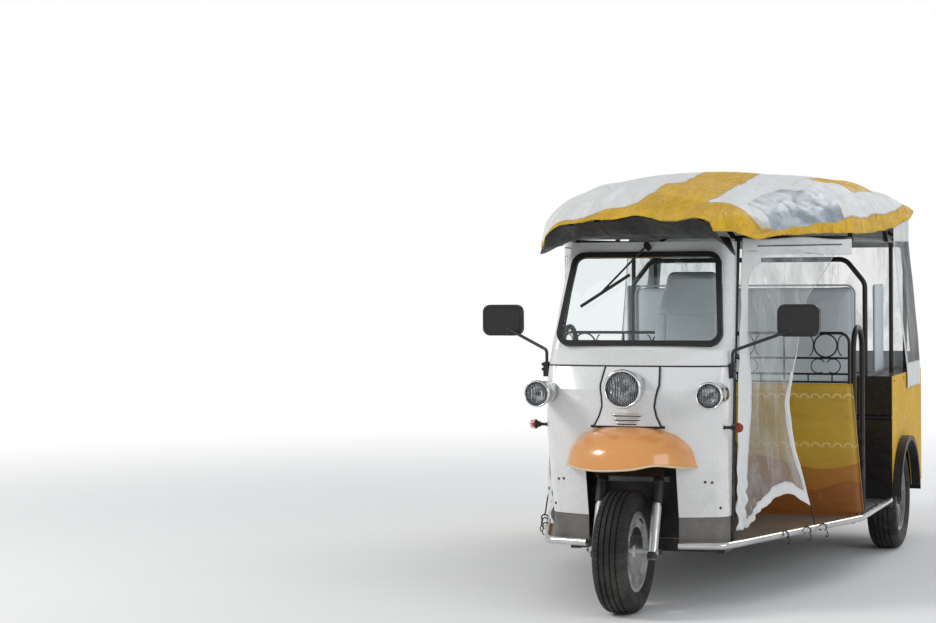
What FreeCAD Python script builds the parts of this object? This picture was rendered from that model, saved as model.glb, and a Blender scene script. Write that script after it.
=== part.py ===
import FreeCAD, Part
import math
import os

V = FreeCAD.Vector

# A six-seat three-wheeled passenger auto rickshaw. Sizes are in millimetres.
# Stations along the vehicle are measured back from the front axle, +X is the vehicle's left side
# and the front faces -Y. The finished solids are moved so that the origin is below their middle.

# Overall layout
wheelbase = 2450.0
rear_overhang = 765.0
floor_top = 285.0
body_half_width = 785.0
sheet = 3.0
seat_gap = 0.3

# Wheels
tyre_radius = 265.0
tyre_width = 150.0
tyre_wall = 13.0
bead_radius = 165.0
flange_radius = 178.0
rim_width = 118.0
rim_wall = 7.0
rear_track_inset = 73.0
rear_track_half = body_half_width - rear_track_inset
hub_radius = 44.0
hub_length = 96.0
axle_pin_radius = 15.0
running_clearance = 0.05
spoke_count = 5
spoke_width = 26.0
spoke_depth = 16.0

# Steering
rake_degrees = 20.0
trail = 60.0
fork_leg_half_spacing = 126.0
fork_leg_radius = 17.0
stem_radius = 16.0
head_tube_radius = 30.0
yoke_bottom = 2 * tyre_radius + 30.0
head_tube_bottom = yoke_bottom + 155.0
head_tube_top = head_tube_bottom + 215.0
yoke_thickness = 34.0
handlebar_radius = 11.0
handlebar_height = 1120.0
grip_radius = 16.0

# Front cowl: level, front at the middle, front at the side, half width
cowl_levels = (
    (400.0, 118.0, 222.0, 398.0),
    (600.0, 78.0, 182.0, 402.0),
    (800.0, 55.0, 152.0, 406.0),
    (950.0, 82.0, 168.0, 410.0),
    (1050.0, 150.0, 200.0, 410.0),
)
screen_levels = (
    (1050.0, 150.0, 200.0, 410.0),
    (1120.0, 219.0, 238.0, 408.0),
    (1590.0, 405.0, 428.0, 372.0),
)
cowl_wall = 4.0
cowl_corner = 52.0
cowl_rear = 292.0
screen_rear_low = 310.0
screen_rear_high = 536.0
wheel_opening_half = 203.0
wheel_opening_top = 2 * tyre_radius + 110.0
skirt_inset = 2.5

# Windscreen, measured in its own sloping plane from its lower edge
screen_foot_y = 226.0
screen_foot_z = 1134.0
screen_slope_degrees = 21.5
screen_height = 440.0
screen_bottom_half = 382.0
screen_top_half = 338.0
screen_corner = 62.0
seal_width = 24.0
seal_depth = 22.0
glass_thickness = 5.0

# Lamps, mirrors and mudguard
headlamp_front = -22.0
headlamp_radius = 84.0
side_lamp_x = 382.0
side_lamp_height = 936.0
side_lamp_front = -31.0
side_lamp_radius = 58.0
indicator_height = 790.0
indicator_reach = 76.0
mirror_out = 269.0
mirror_back = 153.0
mirror_rise = 128.0
mirror_width = 184.0
mirror_tall = 140.0
mirror_shell = 42.0
lamp_reach = 195.0
headlamp_bezel = 12.0
side_lamp_bezel = 9.0
stalk_radius = 9.0
indicator_radius = 21.0
wheel_headroom = 102.0
mudguard_rim = 2 * tyre_radius + wheel_headroom
mudguard_rise = 158.0
mudguard_top = mudguard_rim + mudguard_rise
headlamp_above_guard = 170.0
headlamp_height = mudguard_top + headlamp_above_guard
mudguard_half = 292.0
mudguard_front = -138.0
mudguard_wall = 4.0
nose_raise = 6.0

# Ladder frame and floor
rail_x = 330.0
rail_width = 46.0
rail_height = 60.0
rear_rail_bottom = 345.0
rail_front = 352.0
axle_to_floor = tyre_radius + 35.0
floor_rear = wheelbase - axle_to_floor
wheelhouse_half = 246.0
wheelhouse_rear = 338.0
wheelhouse_headroom = 30.0
mast_y = 377.0
mast_radius = 24.0
side_tube_radius = 16.0
side_tube_bend = 60.0
side_tube_z = floor_top - 4.0
outrigger_gap = 18.0
partition_y = wheelbase * 0.55
side_path = (
    (205.0, 122.0),
    (394.0, 160.0),
    (434.0, 262.0),
    (body_half_width - side_tube_radius, partition_y - 10.0),
    (body_half_width - side_tube_radius, floor_rear),
)

# Driver's place
seat_to_partition = 120.0
seat_length = 445.0
seat_rear = partition_y - seat_to_partition
seat_front = seat_rear - seat_length
seat_half = 215.0
seat_box_top = 640.0
cushion_thickness = 110.0
seat_back_top = 1472.0
seat_back_thickness = 84.0
dash_top = 1046.0

# Partition and rack
partition_thickness = 40.0
partition_top = 915.0
partition_taper = 55.0
partition_top_half = body_half_width - partition_taper
rack_top = 1155.0
rack_tube = 7.0
rack_half = partition_top_half - 18.0
rack_ring_x = rack_half - 112.0
rack_levels = (922.0, 960.0, 1036.0)

# Passenger bench and rear body
bench_length = 350.0
bench_front = floor_rear - bench_length
bench_box_top = 600.0
console_inner = rear_track_half - tyre_width / 2 - 33.0
bench_half = console_inner - 8.0
bench_cushion_top = 722.0
backrest_top = 1383.0
backrest_thickness = 86.0
backrest_y = floor_rear + 55.0
console_top = 910.0
axle_to_tail = 630.0
tail_y = wheelbase + axle_to_tail
panel_low = 300.0
tail_panel_top = 856.0
arch_radius = tyre_radius + 31.0
flare_out = 45.0
flare_tube = 26.0
axle_tube_radius = 34.0
motor_front = 70.0
spring_half = 250.0
leaf_thickness = 8.0
bumper_reach = 70.0
bumper_tube = 19.0
bumper_half = body_half_width - 25.0
eye_radius = 14.0
bolt_radius = 3.5
plate_bolt_half = 90.0
plate_bolt_height = 520.0
side_pad_x = console_inner + 46.0
side_pad_thickness = 24.0
side_pad_front = backrest_y + 125.0
tail_lamp_x = body_half_width - 125.0
tail_lamp_height = 640.0
tail_lamp_drop = 120.0
diff_radius = 98.0
drum_radius = 112.0
drum_inner = console_inner + 14.0
drum_outer = console_inner + 36.0
motor_length = 230.0
spring_width = 44.0
spring_camber = 14.0
disc_radius = 105.0
disc_thickness = 5.0

# Roof
roof_tube = 14.0
roof_rail_z = 1602.0
roof_rail_inset = 81.0
roof_rail_x = body_half_width - roof_rail_inset
roof_rail_turn = partition_y + 105.0
pillar_radius = 12.0
rear_pillar_front = wheelbase + 150.0
rear_pillar_stations = (rear_pillar_front, tail_y - 34.0)
side_pad_rear = rear_pillar_front - 25.0
bow_stations = (roof_rail_turn, wheelbase - 100.0)
bow_depth = 24.0
bow_width = 14.0
front_bow_rise = 200.0
rear_bow_rise = 225.0
rear_curtain_front = rear_pillar_front - 30.0
rear_curtain_low = console_top - 88.0
rear_curtain_top = roof_rail_z + 38.0
rear_pillar_radius = 11.0
hoop_radius = 13.0
hoop_bend = 110.0
hoop_length = 221.0
hoop_top = 1178.0
roll_hoop_half = console_inner + 16.0
roll_hoop_rise = 123.0
canopy_wall = 8.0
# Cover sections: station, half width as a share of the body's, hem and crown above the roof rail
cover_shape = (
    (70.0, 0.503, -14.0, 98.0),
    (330.0, 0.619, -6.0, 198.0),
    (750.0, 0.732, 20.0, 278.0),
    (bow_stations[0], 0.936, 30.0, 343.0),
    (bow_stations[1], 0.953, 58.0, 363.0),
    (wheelbase + 500.0, 0.953, 110.0, 323.0),
    (wheelbase + rear_overhang, 0.911, 164.0, 244.0),
)
curtain_thickness = 10.0

# Worked-out values
canopy_sections = [(y, share * body_half_width, roof_rail_z + hem, roof_rail_z + crown)
                   for y, share, hem, crown in cover_shape]
rail_rear = tail_y - 5.0
mid_y = (wheelbase + rear_overhang - tyre_radius) / 2.0
rake = math.radians(rake_degrees)
steer_dir = V(0, math.sin(rake), math.cos(rake))
sheet_bottom = floor_top - sheet
rail_bottom = sheet_bottom - rail_height
rear_rail_top = rear_rail_bottom + rail_height


def steer_point(z):
    """Point of the steering axis at height z."""
    return V(0, -trail + z * math.tan(rake), z)


def box(x0, x1, y0, y1, z0, z1):
    return Part.makeBox(x1 - x0, y1 - y0, z1 - z0, V(x0, y0, z0))


def rod(start, end, radius):
    direction = end - start
    return Part.makeCylinder(radius, direction.Length, start, direction)


def hollow_rod(start, end, radius, bore):
    return rod(start, end, radius).cut(rod(start, end, bore))


def mirrored(shape):
    return shape.mirror(V(0, 0, 0), V(1, 0, 0))


def fused(shapes):
    whole = shapes[0]
    for shape in shapes[1:]:
        whole = whole.fuse(shape)
    return whole.removeSplitter()


def polygon(points):
    return Part.makePolygon(list(points) + [points[0]])


def rounded_wire(points, radius, closed):
    """Line path with each corner rounded by a tangent arc."""
    count = len(points)
    edges = []
    corners = range(count) if closed else range(1, count - 1)
    cuts = {}
    for i in corners:
        here, before, after = points[i], points[i - 1], points[(i + 1) % count]
        to_before = (before - here).normalize()
        to_after = (after - here).normalize()
        half = to_before.getAngle(to_after) / 2.0
        reach = min(radius / math.tan(half), 0.49 * min((before - here).Length, (after - here).Length))
        true_radius = reach * math.tan(half)
        bisector = (to_before + to_after).normalize()
        middle = here + bisector * (true_radius / math.sin(half) - true_radius)
        cuts[i] = (here + to_before * reach, middle, here + to_after * reach)
    last = count if closed else count - 1
    for i in range(last):
        j = (i + 1) % count
        start = cuts[i][2] if i in cuts else points[i]
        end = cuts[j][0] if j in cuts else points[j]
        if (end - start).Length > 0.01:
            edges.append(Part.LineSegment(start, end).toShape())
        if j in cuts:
            edges.append(Part.Arc(*cuts[j]).toShape())
    return Part.Wire(edges)


def bent_rod(points, radius, bend):
    """Round bar along a path of straight runs and tangent bends."""
    path = rounded_wire(points, bend, False)
    start = points[0]
    direction = points[1] - points[0]
    ring = Part.Wire(Part.makeCircle(radius, start, direction))
    return Part.Wire(path).makePipeShell([ring], True, True)


def slab(points, thickness_vector, corner=0.0):
    """Flat plate with the outline given by points, thickened along a vector."""
    wire = rounded_wire(points, corner, True) if corner else polygon(points)
    return Part.Face(wire).extrude(thickness_vector)


def front_section(z, nose, edge, half, rear, inset=0.0):
    """Closed plan outline of the cab front at one level."""
    half = half - inset
    nose = nose + inset
    edge = edge + inset
    reach = (half - cowl_corner) / half
    shoulder = nose + (edge - nose) * reach * reach
    side_start = edge + cowl_corner * 0.8
    side = V(half, side_start, z)
    front = V(half - cowl_corner, shoulder, z)
    middle = (side + V(half, edge, z) * 2.0 + front) * 0.25

    def other(p):
        return V(-p.x, p.y, p.z)

    edges = [
        Part.LineSegment(other(V(half, rear, z)), other(side)).toShape(),
        Part.Arc(other(side), other(middle), other(front)).toShape(),
        Part.Arc(other(front), V(0, nose, z), front).toShape(),
        Part.Arc(front, middle, side).toShape(),
        Part.LineSegment(side, V(half, rear, z)).toShape(),
        Part.LineSegment(V(half, rear, z), other(V(half, rear, z))).toShape(),
    ]
    return Part.Wire(edges)


def rear_edge(z):
    """Station of the cab front's rear edge: upright below the waist, leaning back above it."""
    waist = cowl_levels[-1][0]
    if z <= waist:
        return cowl_rear
    share = (z - waist) / (screen_levels[-1][0] - waist)
    return screen_rear_low + share * (screen_rear_high - screen_rear_low)


def front_solid(levels, inset=0.0, extra=0.0):
    """Loft through the levels; extra lengthens it past its open back and ends."""
    rows = list(levels)
    if extra:
        low, high = levels[0], levels[-1]
        rows = [(low[0] - extra,) + low[1:]] + rows + [(high[0] + extra,) + high[1:]]
    wires = []
    for z, nose, edge, half in rows:
        inside = min(max(z, levels[0][0]), levels[-1][0])
        at_foot = levels is screen_levels and inside == levels[0][0]
        rear = screen_rear_low if at_foot else rear_edge(inside)
        wires.append(front_section(z, nose, edge, half, rear + extra, inset))
    return Part.makeLoft(wires, True, True)


cowl_outer = front_solid(cowl_levels)
screen_outer = front_solid(screen_levels)


def front_cowl():
    """Open-backed nose shell with the wheel opening between its legs."""
    shell = cowl_outer.cut(front_solid(cowl_levels, cowl_wall, 40.0))
    low = cowl_levels[0][0]
    opening = box(-wheel_opening_half, wheel_opening_half, 0.0, 500.0, low - 10.0, wheel_opening_top)
    return shell.cut(opening)


def screen_plane(u, v, depth=0.0):
    """Point in the windscreen's plane: u to the left, v up the slope, depth rearward along its normal."""
    slope = math.radians(screen_slope_degrees)
    y = screen_foot_y + v * math.sin(slope) + depth * math.cos(slope)
    z = screen_foot_z + v * math.cos(slope) - depth * math.sin(slope)
    return V(u, y, z)


def screen_outline(shrink, depth):
    low = screen_bottom_half - shrink
    high = screen_top_half - shrink
    top = screen_height - shrink
    points = [
        screen_plane(-low, shrink, depth),
        screen_plane(low, shrink, depth),
        screen_plane(high, top, depth),
        screen_plane(-high, top, depth),
    ]
    return rounded_wire(points, screen_corner - shrink, True)


def screen_prism(shrink, start, end):
    normal = screen_plane(0, 0, end) - screen_plane(0, 0, start)
    return Part.Face(screen_outline(shrink, start)).extrude(normal)


def screen_panel():
    """Painted surround of the windscreen, wrapped round to the side faces."""
    shell = screen_outer.cut(front_solid(screen_levels, cowl_wall, 40.0))
    return shell.cut(screen_prism(0.0, -120.0, 120.0))


def windscreen_seal():
    ring = screen_prism(0.0, -seal_depth / 2, seal_depth / 2)
    return ring.cut(screen_prism(seal_width, -seal_depth, seal_depth))


def windscreen_glass():
    return screen_prism(seal_width, -glass_thickness / 2, glass_thickness / 2)


def skirt(side):
    """Lower valance beside the wheel opening, standing on the floor."""
    low = cowl_levels[0]
    levels = ((floor_top, low[1], low[2], low[3]), low)
    outer = front_solid(levels, skirt_inset)
    inner = front_solid(levels, skirt_inset + cowl_wall, 30.0)
    half = box(wheel_opening_half, 600.0, 0.0, 500.0, floor_top, low[0])
    shape = outer.cut(inner).common(half)
    return shape if side > 0 else mirrored(shape)


def nose_panel():
    """Raised centre panel that carries the headlamp."""
    outline = [
        V(-120, 0, headlamp_height + 86), V(-130, 0, headlamp_height + 10), V(-115, 0, headlamp_height - 80),
        V(-150, 0, mudguard_top + 4),
    ]
    outline += [V(-p.x, 0, p.z) for p in reversed(outline)]
    prism = slab(outline, V(0, 300, 0))
    return cowl_block(nose_raise).common(prism).cut(cowl_block())


def cowl_block(forward=0.0):
    """The cowl's outer form filled and lengthened rearward, for trimming what sits on it."""
    block = front_solid(cowl_levels, 0.0, 300.0)
    block.translate(V(0, -forward, 0))
    return block


def lamp_body(centre, radius, length, rim):
    """Lamp turned about the fore and aft axis: domed shell with a wide front rim."""
    front = centre.y
    back = front + length
    points = [
        V(0, front + 16, 0), V(radius - rim, front + 16, 0), V(radius - rim, front, 0),
        V(radius, front + 6, 0), V(radius, front + 20, 0), V(radius - 7, front + 26, 0),
        V(radius - 12, back, 0), V(0, back, 0),
    ]
    body = Part.Face(polygon(points)).revolve(V(0, 0, 0), V(0, 1, 0), 360)
    body.translate(V(centre.x, 0, centre.z))
    return body


def lamp_lens(centre, radius, rim):
    """Slightly domed lens seated in the rim."""
    edge = V(radius - rim, centre.y + 16, 0)
    tip = V(0, centre.y - 2, 0)
    mid = V((radius - rim) * 0.6, centre.y + 4, 0)
    outline = Part.Wire([
        Part.Arc(tip, mid, edge).toShape(),
        Part.LineSegment(edge, V(0, centre.y + 16, 0)).toShape(),
        Part.LineSegment(V(0, centre.y + 16, 0), tip).toShape(),
    ])
    lens = Part.Face(outline).revolve(V(0, 0, 0), V(0, 1, 0), 360)
    lens.translate(V(centre.x, 0, centre.z))
    return lens


def headlamp():
    centre = V(0, headlamp_front, headlamp_height)
    body = lamp_body(centre, headlamp_radius, lamp_reach, headlamp_bezel)
    lens = lamp_lens(centre, headlamp_radius, headlamp_bezel)
    return fused([body, lens]).cut(cowl_block(nose_raise))


def side_lamp(side):
    centre = V(side_lamp_x, side_lamp_front, side_lamp_height)
    body = lamp_body(centre, side_lamp_radius, lamp_reach, side_lamp_bezel)
    lens = lamp_lens(centre, side_lamp_radius, side_lamp_bezel)
    shape = fused([body, lens]).cut(cowl_block())
    return shape if side > 0 else mirrored(shape)


def indicator(side):
    """Stalk with a round lamp at its end, growing out of the cowl's side."""
    root = V(360.0, 176.0, indicator_height)
    tip = V(385.0 + indicator_reach, 170.0, indicator_height)
    stalk = rod(root, tip, stalk_radius).cut(cowl_block())
    ball = Part.makeSphere(indicator_radius, tip)
    shape = fused([stalk, ball])
    return shape if side > 0 else mirrored(shape)


def mirror(side):
    """Bracket on the cowl's rear edge, bent arm and rounded head."""
    foot = V(cowl_levels[-1][3], 236.0, 1040.0)
    bracket = box(foot.x, foot.x + 22.0, foot.y - 20.0, foot.y + 20.0, foot.z - 42.0, foot.z + 22.0)
    elbow = V(foot.x + 11.0, foot.y, foot.z + 75.0)
    head = V(foot.x + mirror_out, foot.y + mirror_back, foot.z + 75.0 + mirror_rise)
    joint = V(head.x - 30.0, head.y - 8.0, head.z - mirror_tall * 0.3)
    arm = bent_rod([V(elbow.x, elbow.y, foot.z + 20.0), elbow, joint], 7.0, 22.0)
    half_w, half_h = mirror_width / 2, mirror_tall / 2
    corners = ((-half_w, -half_h), (half_w, -half_h), (half_w, half_h), (-half_w, half_h))
    outline = [V(head.x + dx, head.y - mirror_shell / 2, head.z + dz) for dx, dz in corners]
    shell = slab(outline, V(0, mirror_shell, 0), 34.0)
    shape = fused([bracket, arm, shell])
    return shape if side > 0 else mirrored(shape)


def mudguard():
    """Peaked guard over the wheel, closed against the cowl."""
    rows = (
        (mudguard_rim, mudguard_half, 150.0, mudguard_front),
        (mudguard_rim + 62.0, mudguard_half - 16.0, 145.0, mudguard_front + 18.0),
        (mudguard_rim + 118.0, mudguard_half - 62.0, 130.0, mudguard_front + 66.0),
        (mudguard_top, 158.0, 110.0, 22.0),
    )

    def section(z, half, side_y, front_y, inset):
        left = V(half - inset, side_y, z)
        right = V(-half + inset, side_y, z)
        edges = [
            Part.Arc(right, V(0, front_y + inset, z), left).toShape(),
            Part.LineSegment(left, V(half - inset, 300.0, z)).toShape(),
            Part.LineSegment(V(half - inset, 300.0, z), V(-half + inset, 300.0, z)).toShape(),
            Part.LineSegment(V(-half + inset, 300.0, z), right).toShape(),
        ]
        return Part.Wire(edges)

    outer = Part.makeLoft([section(z, h, s, f, 0.0) for z, h, s, f in rows], True, True)
    lowered = [(z - mudguard_wall, h, s, f) for z, h, s, f in rows]
    inner = Part.makeLoft([section(z, h, s, f, mudguard_wall) for z, h, s, f in lowered], True, True)
    return outer.cut(inner).cut(cowl_block())


def wheelhouse():
    """Black liner round the back and sides of the front wheel."""
    low = floor_top
    top = wheel_opening_top + wheelhouse_headroom
    outer = box(-wheelhouse_half - sheet, wheelhouse_half + sheet, 205.0, wheelhouse_rear + sheet, low, top)
    inner = box(-wheelhouse_half, wheelhouse_half, 100.0, wheelhouse_rear, low - 10.0, top - sheet)
    slot = box(-70.0, 70.0, 150.0, wheelhouse_rear - 20.0, top - 20.0, top + 20.0)
    return outer.cut(inner).cut(slot)


def wiper():
    """Motor above the glass with arm and blade across it."""
    pivot_v = screen_height + 22.0
    hub = rod(screen_plane(6.0, pivot_v, 20.0), screen_plane(6.0, pivot_v, -40.0), 14.0)
    blade_top = screen_plane(-60.0, screen_height - 115.0, -26.0)
    blade_end = screen_plane(-272.0, screen_height - 265.0, -26.0)
    arm = rod(screen_plane(6.0, pivot_v, -32.0), blade_top + (blade_end - blade_top) * 0.6, 4.5)
    blade = rod(blade_top, blade_end, 7.0)
    return fused([hub, arm, blade]).cut(front_solid(screen_levels, 0.0, 200.0))


def side_tube_x(y):
    """How far out the side tube's centre line is at station y."""
    for (x0, y0), (x1, y1) in zip(side_path, side_path[1:]):
        if y0 <= y <= y1:
            return x0 + (x1 - x0) * (y - y0) / (y1 - y0)


def side_tube(side):
    """Bright tube round the edge of the floor."""
    points = [V(x, y, side_tube_z) for x, y in side_path]
    shape = bent_rod(points, side_tube_radius, side_tube_bend)
    return shape if side > 0 else mirrored(shape)


def floor_pan():
    """Floor sheet inside the side tubes, cut out round the front wheel."""
    points = [V(x, y, sheet_bottom) for x, y in side_path]
    closed = points + [V(-p.x, p.y, p.z) for p in reversed(points)]
    edge = rounded_wire(points, side_tube_bend, False)
    other = rounded_wire([V(-p.x, p.y, p.z) for p in points], side_tube_bend, False)
    front = Part.LineSegment(closed[-1], closed[0]).toShape()
    rear = Part.LineSegment(points[-1], V(-points[-1].x, points[-1].y, sheet_bottom)).toShape()
    face = Part.Face(Part.Wire(Part.__sortEdges__(edge.Edges + other.Edges + [front, rear])))
    inset = face.makeOffset2D(-(side_tube_radius + seat_gap))
    plate = inset.extrude(V(0, 0, sheet))
    half = body_half_width - 40.0
    tail = box(-half, half, floor_rear - 50.0, floor_rear, sheet_bottom, floor_top)
    half = wheelhouse_half + sheet + 0.1
    well = box(-half, half, 0.0, wheelhouse_rear + sheet + 0.1, sheet_bottom - 5.0, floor_top + 5.0)
    mast_way = rod(V(0, mast_y, sheet_bottom - 5.0), V(0, mast_y, floor_top + 5.0), mast_radius + seat_gap)
    return plate.fuse(tail).cut(well).cut(mast_way).removeSplitter()


def chassis_frame():
    """Ladder frame kicked up over the rear axle, with the mast that carries the steering head."""
    parts = []
    for side in (1, -1):
        x0 = side * rail_x - rail_width / 2
        profile = [
            V(x0, rail_front, rail_bottom), V(x0, floor_rear + 20.0, rail_bottom),
            V(x0, floor_rear + 150.0, rear_rail_bottom), V(x0, rail_rear, rear_rail_bottom),
            V(x0, rail_rear, rear_rail_top), V(x0, floor_rear + 120.0, rear_rail_top),
            V(x0, floor_rear + 2.0, sheet_bottom), V(x0, rail_front, sheet_bottom),
        ]
        parts.append(slab(profile, V(rail_width, 0, 0)))
    inner = rail_x - rail_width / 2 + 1.0
    stations = (seat_front - 20.0, partition_y, bench_front + 60.0)
    for y in (rail_front,) + stations:
        parts.append(box(-inner, inner, y, y + 50.0, rail_bottom + 4.0, sheet_bottom))
    for y in (backrest_y + 105.0, rail_rear - 50.0):
        parts.append(box(-inner, inner, y, y + 50.0, rear_rail_bottom + 4.0, rear_rail_top))
    outer = rail_x + rail_width / 2 - 1.0
    for y in stations:
        reach = side_tube_x(y) - side_tube_radius - outrigger_gap
        parts.append(box(outer, reach, y, y + 50.0, sheet_bottom - 30.0, sheet_bottom))
        parts.append(box(-reach, -outer, y, y + 50.0, sheet_bottom - 30.0, sheet_bottom))
    head = rod(steer_point(head_tube_bottom), steer_point(head_tube_top), head_tube_radius)
    knee = V(0, mast_y, wheel_opening_top + wheelhouse_headroom + mast_radius)
    crown = steer_point((head_tube_bottom + head_tube_top) / 2) + V(0, 12.0, 0)
    parts.append(rod(V(0, mast_y, sheet_bottom - 30.0), knee, mast_radius))
    parts.append(Part.makeSphere(mast_radius, knee))
    parts.append(rod(knee, crown, mast_radius))
    parts.append(head)
    frame = fused(parts)
    bore = rod(steer_point(head_tube_bottom - 40.0), steer_point(head_tube_top + 40.0),
               stem_radius + running_clearance)
    return frame.cut(bore)


def pillar_path():
    """Centre line of the left cab pillar: upright behind the cowl, then along the screen panel's edge."""
    radius = pillar_radius
    lean = (screen_rear_high - screen_rear_low) / (screen_levels[-1][0] - screen_levels[0][0])
    clear = radius * math.hypot(1.0, lean) + seat_gap
    upright_y = cowl_rear + radius + seat_gap
    low_z = screen_levels[0][0]
    waist_z = low_z - (screen_rear_low + clear - upright_y) / lean
    head_z = roof_rail_z
    head_y = screen_rear_low + clear + (head_z - low_z) * lean
    return (
        V(cowl_levels[0][3] - cowl_wall / 2, upright_y, floor_top + seat_gap),
        V(cowl_levels[-1][3] - cowl_wall / 2, upright_y, waist_z),
        V(screen_levels[-1][3] - cowl_wall / 2, head_y, head_z),
    )


def roof_frame():
    """Cab pillars, side rails, roof bows and rear pillars, welded together."""
    path = pillar_path()
    turn = V(roof_rail_x, roof_rail_turn, roof_rail_z)
    rear = V(roof_rail_x, tail_y - 20.0, roof_rail_z)
    parts = []
    for side in (1, -1):
        pillar = [V(side * p.x, p.y, p.z) for p in path]
        parts.append(rod(pillar[0], pillar[1], pillar_radius))
        parts.append(Part.makeSphere(pillar_radius, pillar[1]))
        parts.append(rod(pillar[1], pillar[2], pillar_radius))
        rail = [V(side * p.x, p.y, p.z) for p in (path[2], turn, rear)]
        parts.append(Part.makeSphere(roof_tube, rail[0]))
        parts.append(rod(rail[0], rail[1], roof_tube))
        parts.append(Part.makeSphere(roof_tube, rail[1]))
        parts.append(rod(rail[1], rail[2], roof_tube))
        for y in rear_pillar_stations:
            x = side * roof_rail_x
            parts.append(rod(V(x, y, console_top), V(x, y, roof_rail_z), rear_pillar_radius))
    rear_foot = V(roof_rail_x, rear_pillar_stations[-1], roof_rail_z)
    for foot, rise in ((path[2], front_bow_rise), (rear_foot, rear_bow_rise)):
        parts.append(slab_ring(arch_wire(foot, rise, 0.0), arch_wire(foot, rise, bow_depth)))
    under_cover = canopy_hollow(canopy_wall + seat_gap)
    for row in canopy_sections:
        if row[0] in bow_stations:
            drop = row[2] - roof_rail_z + roof_tube / 2
            depth = canopy_wall + bow_depth
            bow = slab_ring(canopy_wire(*row, 0.0, drop), canopy_wire(*row, depth, drop + 30.0))
            parts.append(bow.common(under_cover).Solids[0])
    return fused(parts)


def arch_wire(foot, rise, inset):
    """Arc from side to side over the cab with its ends at foot's height, closed below."""
    half = foot.x - inset
    left, right = V(-half, foot.y, foot.z), V(half, foot.y, foot.z)
    arc = Part.Arc(left, V(0, foot.y, foot.z + rise - inset), right).toShape()
    return Part.Wire([arc, Part.LineSegment(right, left).toShape()])


def slab_ring(outer, inner):
    """Upright band between two nested outlines, as thick as a bow."""
    face = Part.Face(outer).cut(Part.Face(inner)).Faces[0]
    face.translate(V(0, -bow_width / 2, 0))
    return face.extrude(V(0, bow_width, 0))


def canopy_wire(y, half, hem, crown, inset, drop):
    """Arch outline of the cover: short upright hem, round shoulders and a flat crown."""
    half = half - inset
    crown = crown - inset
    low = hem - drop
    shoulder_z = hem + (crown - hem) * 0.42
    shoulder_x = half * 0.955
    top_x = half * 0.62
    top_z = hem + (crown - hem) * 0.86
    mid = V(half * 0.84, y, hem + (crown - hem) * 0.70)

    def other(p):
        return V(-p.x, p.y, p.z)

    foot = V(half, y, low)
    shoulder = V(shoulder_x, y, shoulder_z)
    top = V(top_x, y, top_z)
    edges = [
        Part.LineSegment(other(foot), other(shoulder)).toShape(),
        Part.Arc(other(shoulder), other(mid), other(top)).toShape(),
        Part.Arc(other(top), V(0, y, crown), top).toShape(),
        Part.Arc(top, mid, shoulder).toShape(),
        Part.LineSegment(shoulder, foot).toShape(),
        Part.LineSegment(foot, other(foot)).toShape(),
    ]
    return Part.Wire(edges)


def canopy_hollow(inset):
    """Space under the cover, inset from its outer face and lengthened below the hem."""
    rows = list(canopy_sections)
    rows[0] = (rows[0][0] - 20.0,) + rows[0][1:]
    rows[-1] = (rows[-1][0] - inset,) + rows[-1][1:]
    wires = [canopy_wire(*row, inset, row[2] - roof_rail_z + 40.0) for row in rows]
    return Part.makeLoft(wires, True, True)


def canopy():
    """Roof cover with a front peak, open below."""
    outer = Part.makeLoft([canopy_wire(*row, 0.0, 0.0) for row in canopy_sections], True, True)
    return outer.cut(canopy_hollow(canopy_wall))


def front_curtain(side):
    """Side curtain drawn forward, its free corner pulled out to the side tube, its header on the rail."""
    path = pillar_path()
    rail_end = (roof_rail_x, roof_rail_turn)
    top = roof_rail_z + 6.0
    lines = (
        (floor_top, path[0], pillar_radius, side_path[3]),
        (path[1].z, path[1], pillar_radius, rail_end),
        (top, path[2], roof_tube, rail_end),
    )
    rings = []
    for z, front, tube, far in lines:
        start, end = V(front.x, front.y, z), V(far[0], far[1], z)
        along = (end - start).normalize()
        out = V(along.y, -along.x, 0)
        start, end = start + out * (tube + seat_gap), end + out * (roof_tube + seat_gap)
        across = out * curtain_thickness
        rings.append(polygon([start, end, end + across, start + across]))
    sheet_solid = Part.makeLoft(rings, True, True)
    header_end = roof_rail_turn - 30.0
    outline = [
        (path[0].y + 14.0, 330.0), (path[1].y + 14.0, path[1].z), (path[2].y + 14.0, top),
        (header_end, top), (header_end, top - 66.0), (1290.0, top - 72.0),
        (1000.0, 1322.0), (815.0, 1000.0), (737.0, 850.0), (785.0, 600.0), (865.0, 385.0),
        (700.0, 458.0), (480.0, 402.0), (400.0, 335.0),
    ]
    shape = sheet_solid.common(slab([V(200.0, y, z) for y, z in outline], V(700.0, 0, 0)))
    return shape if side > 0 else mirrored(shape)


def rear_cover():
    """Clear panels of the cover round the tail, hanging outside the painted body."""
    low_x = body_half_width + seat_gap
    high_x = roof_rail_x + roof_tube + seat_gap
    y = tail_y + sheet + seat_gap
    front = rear_curtain_front

    def ring(x, z):
        t = curtain_thickness
        corners = [
            (x, front), (x + t, front), (x + t, y + t), (-x - t, y + t),
            (-x - t, front), (-x, front), (-x, y), (x, y),
        ]
        return polygon([V(px, py, z) for px, py in corners])

    levels = (
        (low_x, rear_curtain_low), (low_x, console_top + 2.0),
        (high_x, roof_rail_z), (high_x, rear_curtain_top),
    )
    return Part.makeLoft([ring(x, z) for x, z in levels], True, True)


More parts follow.
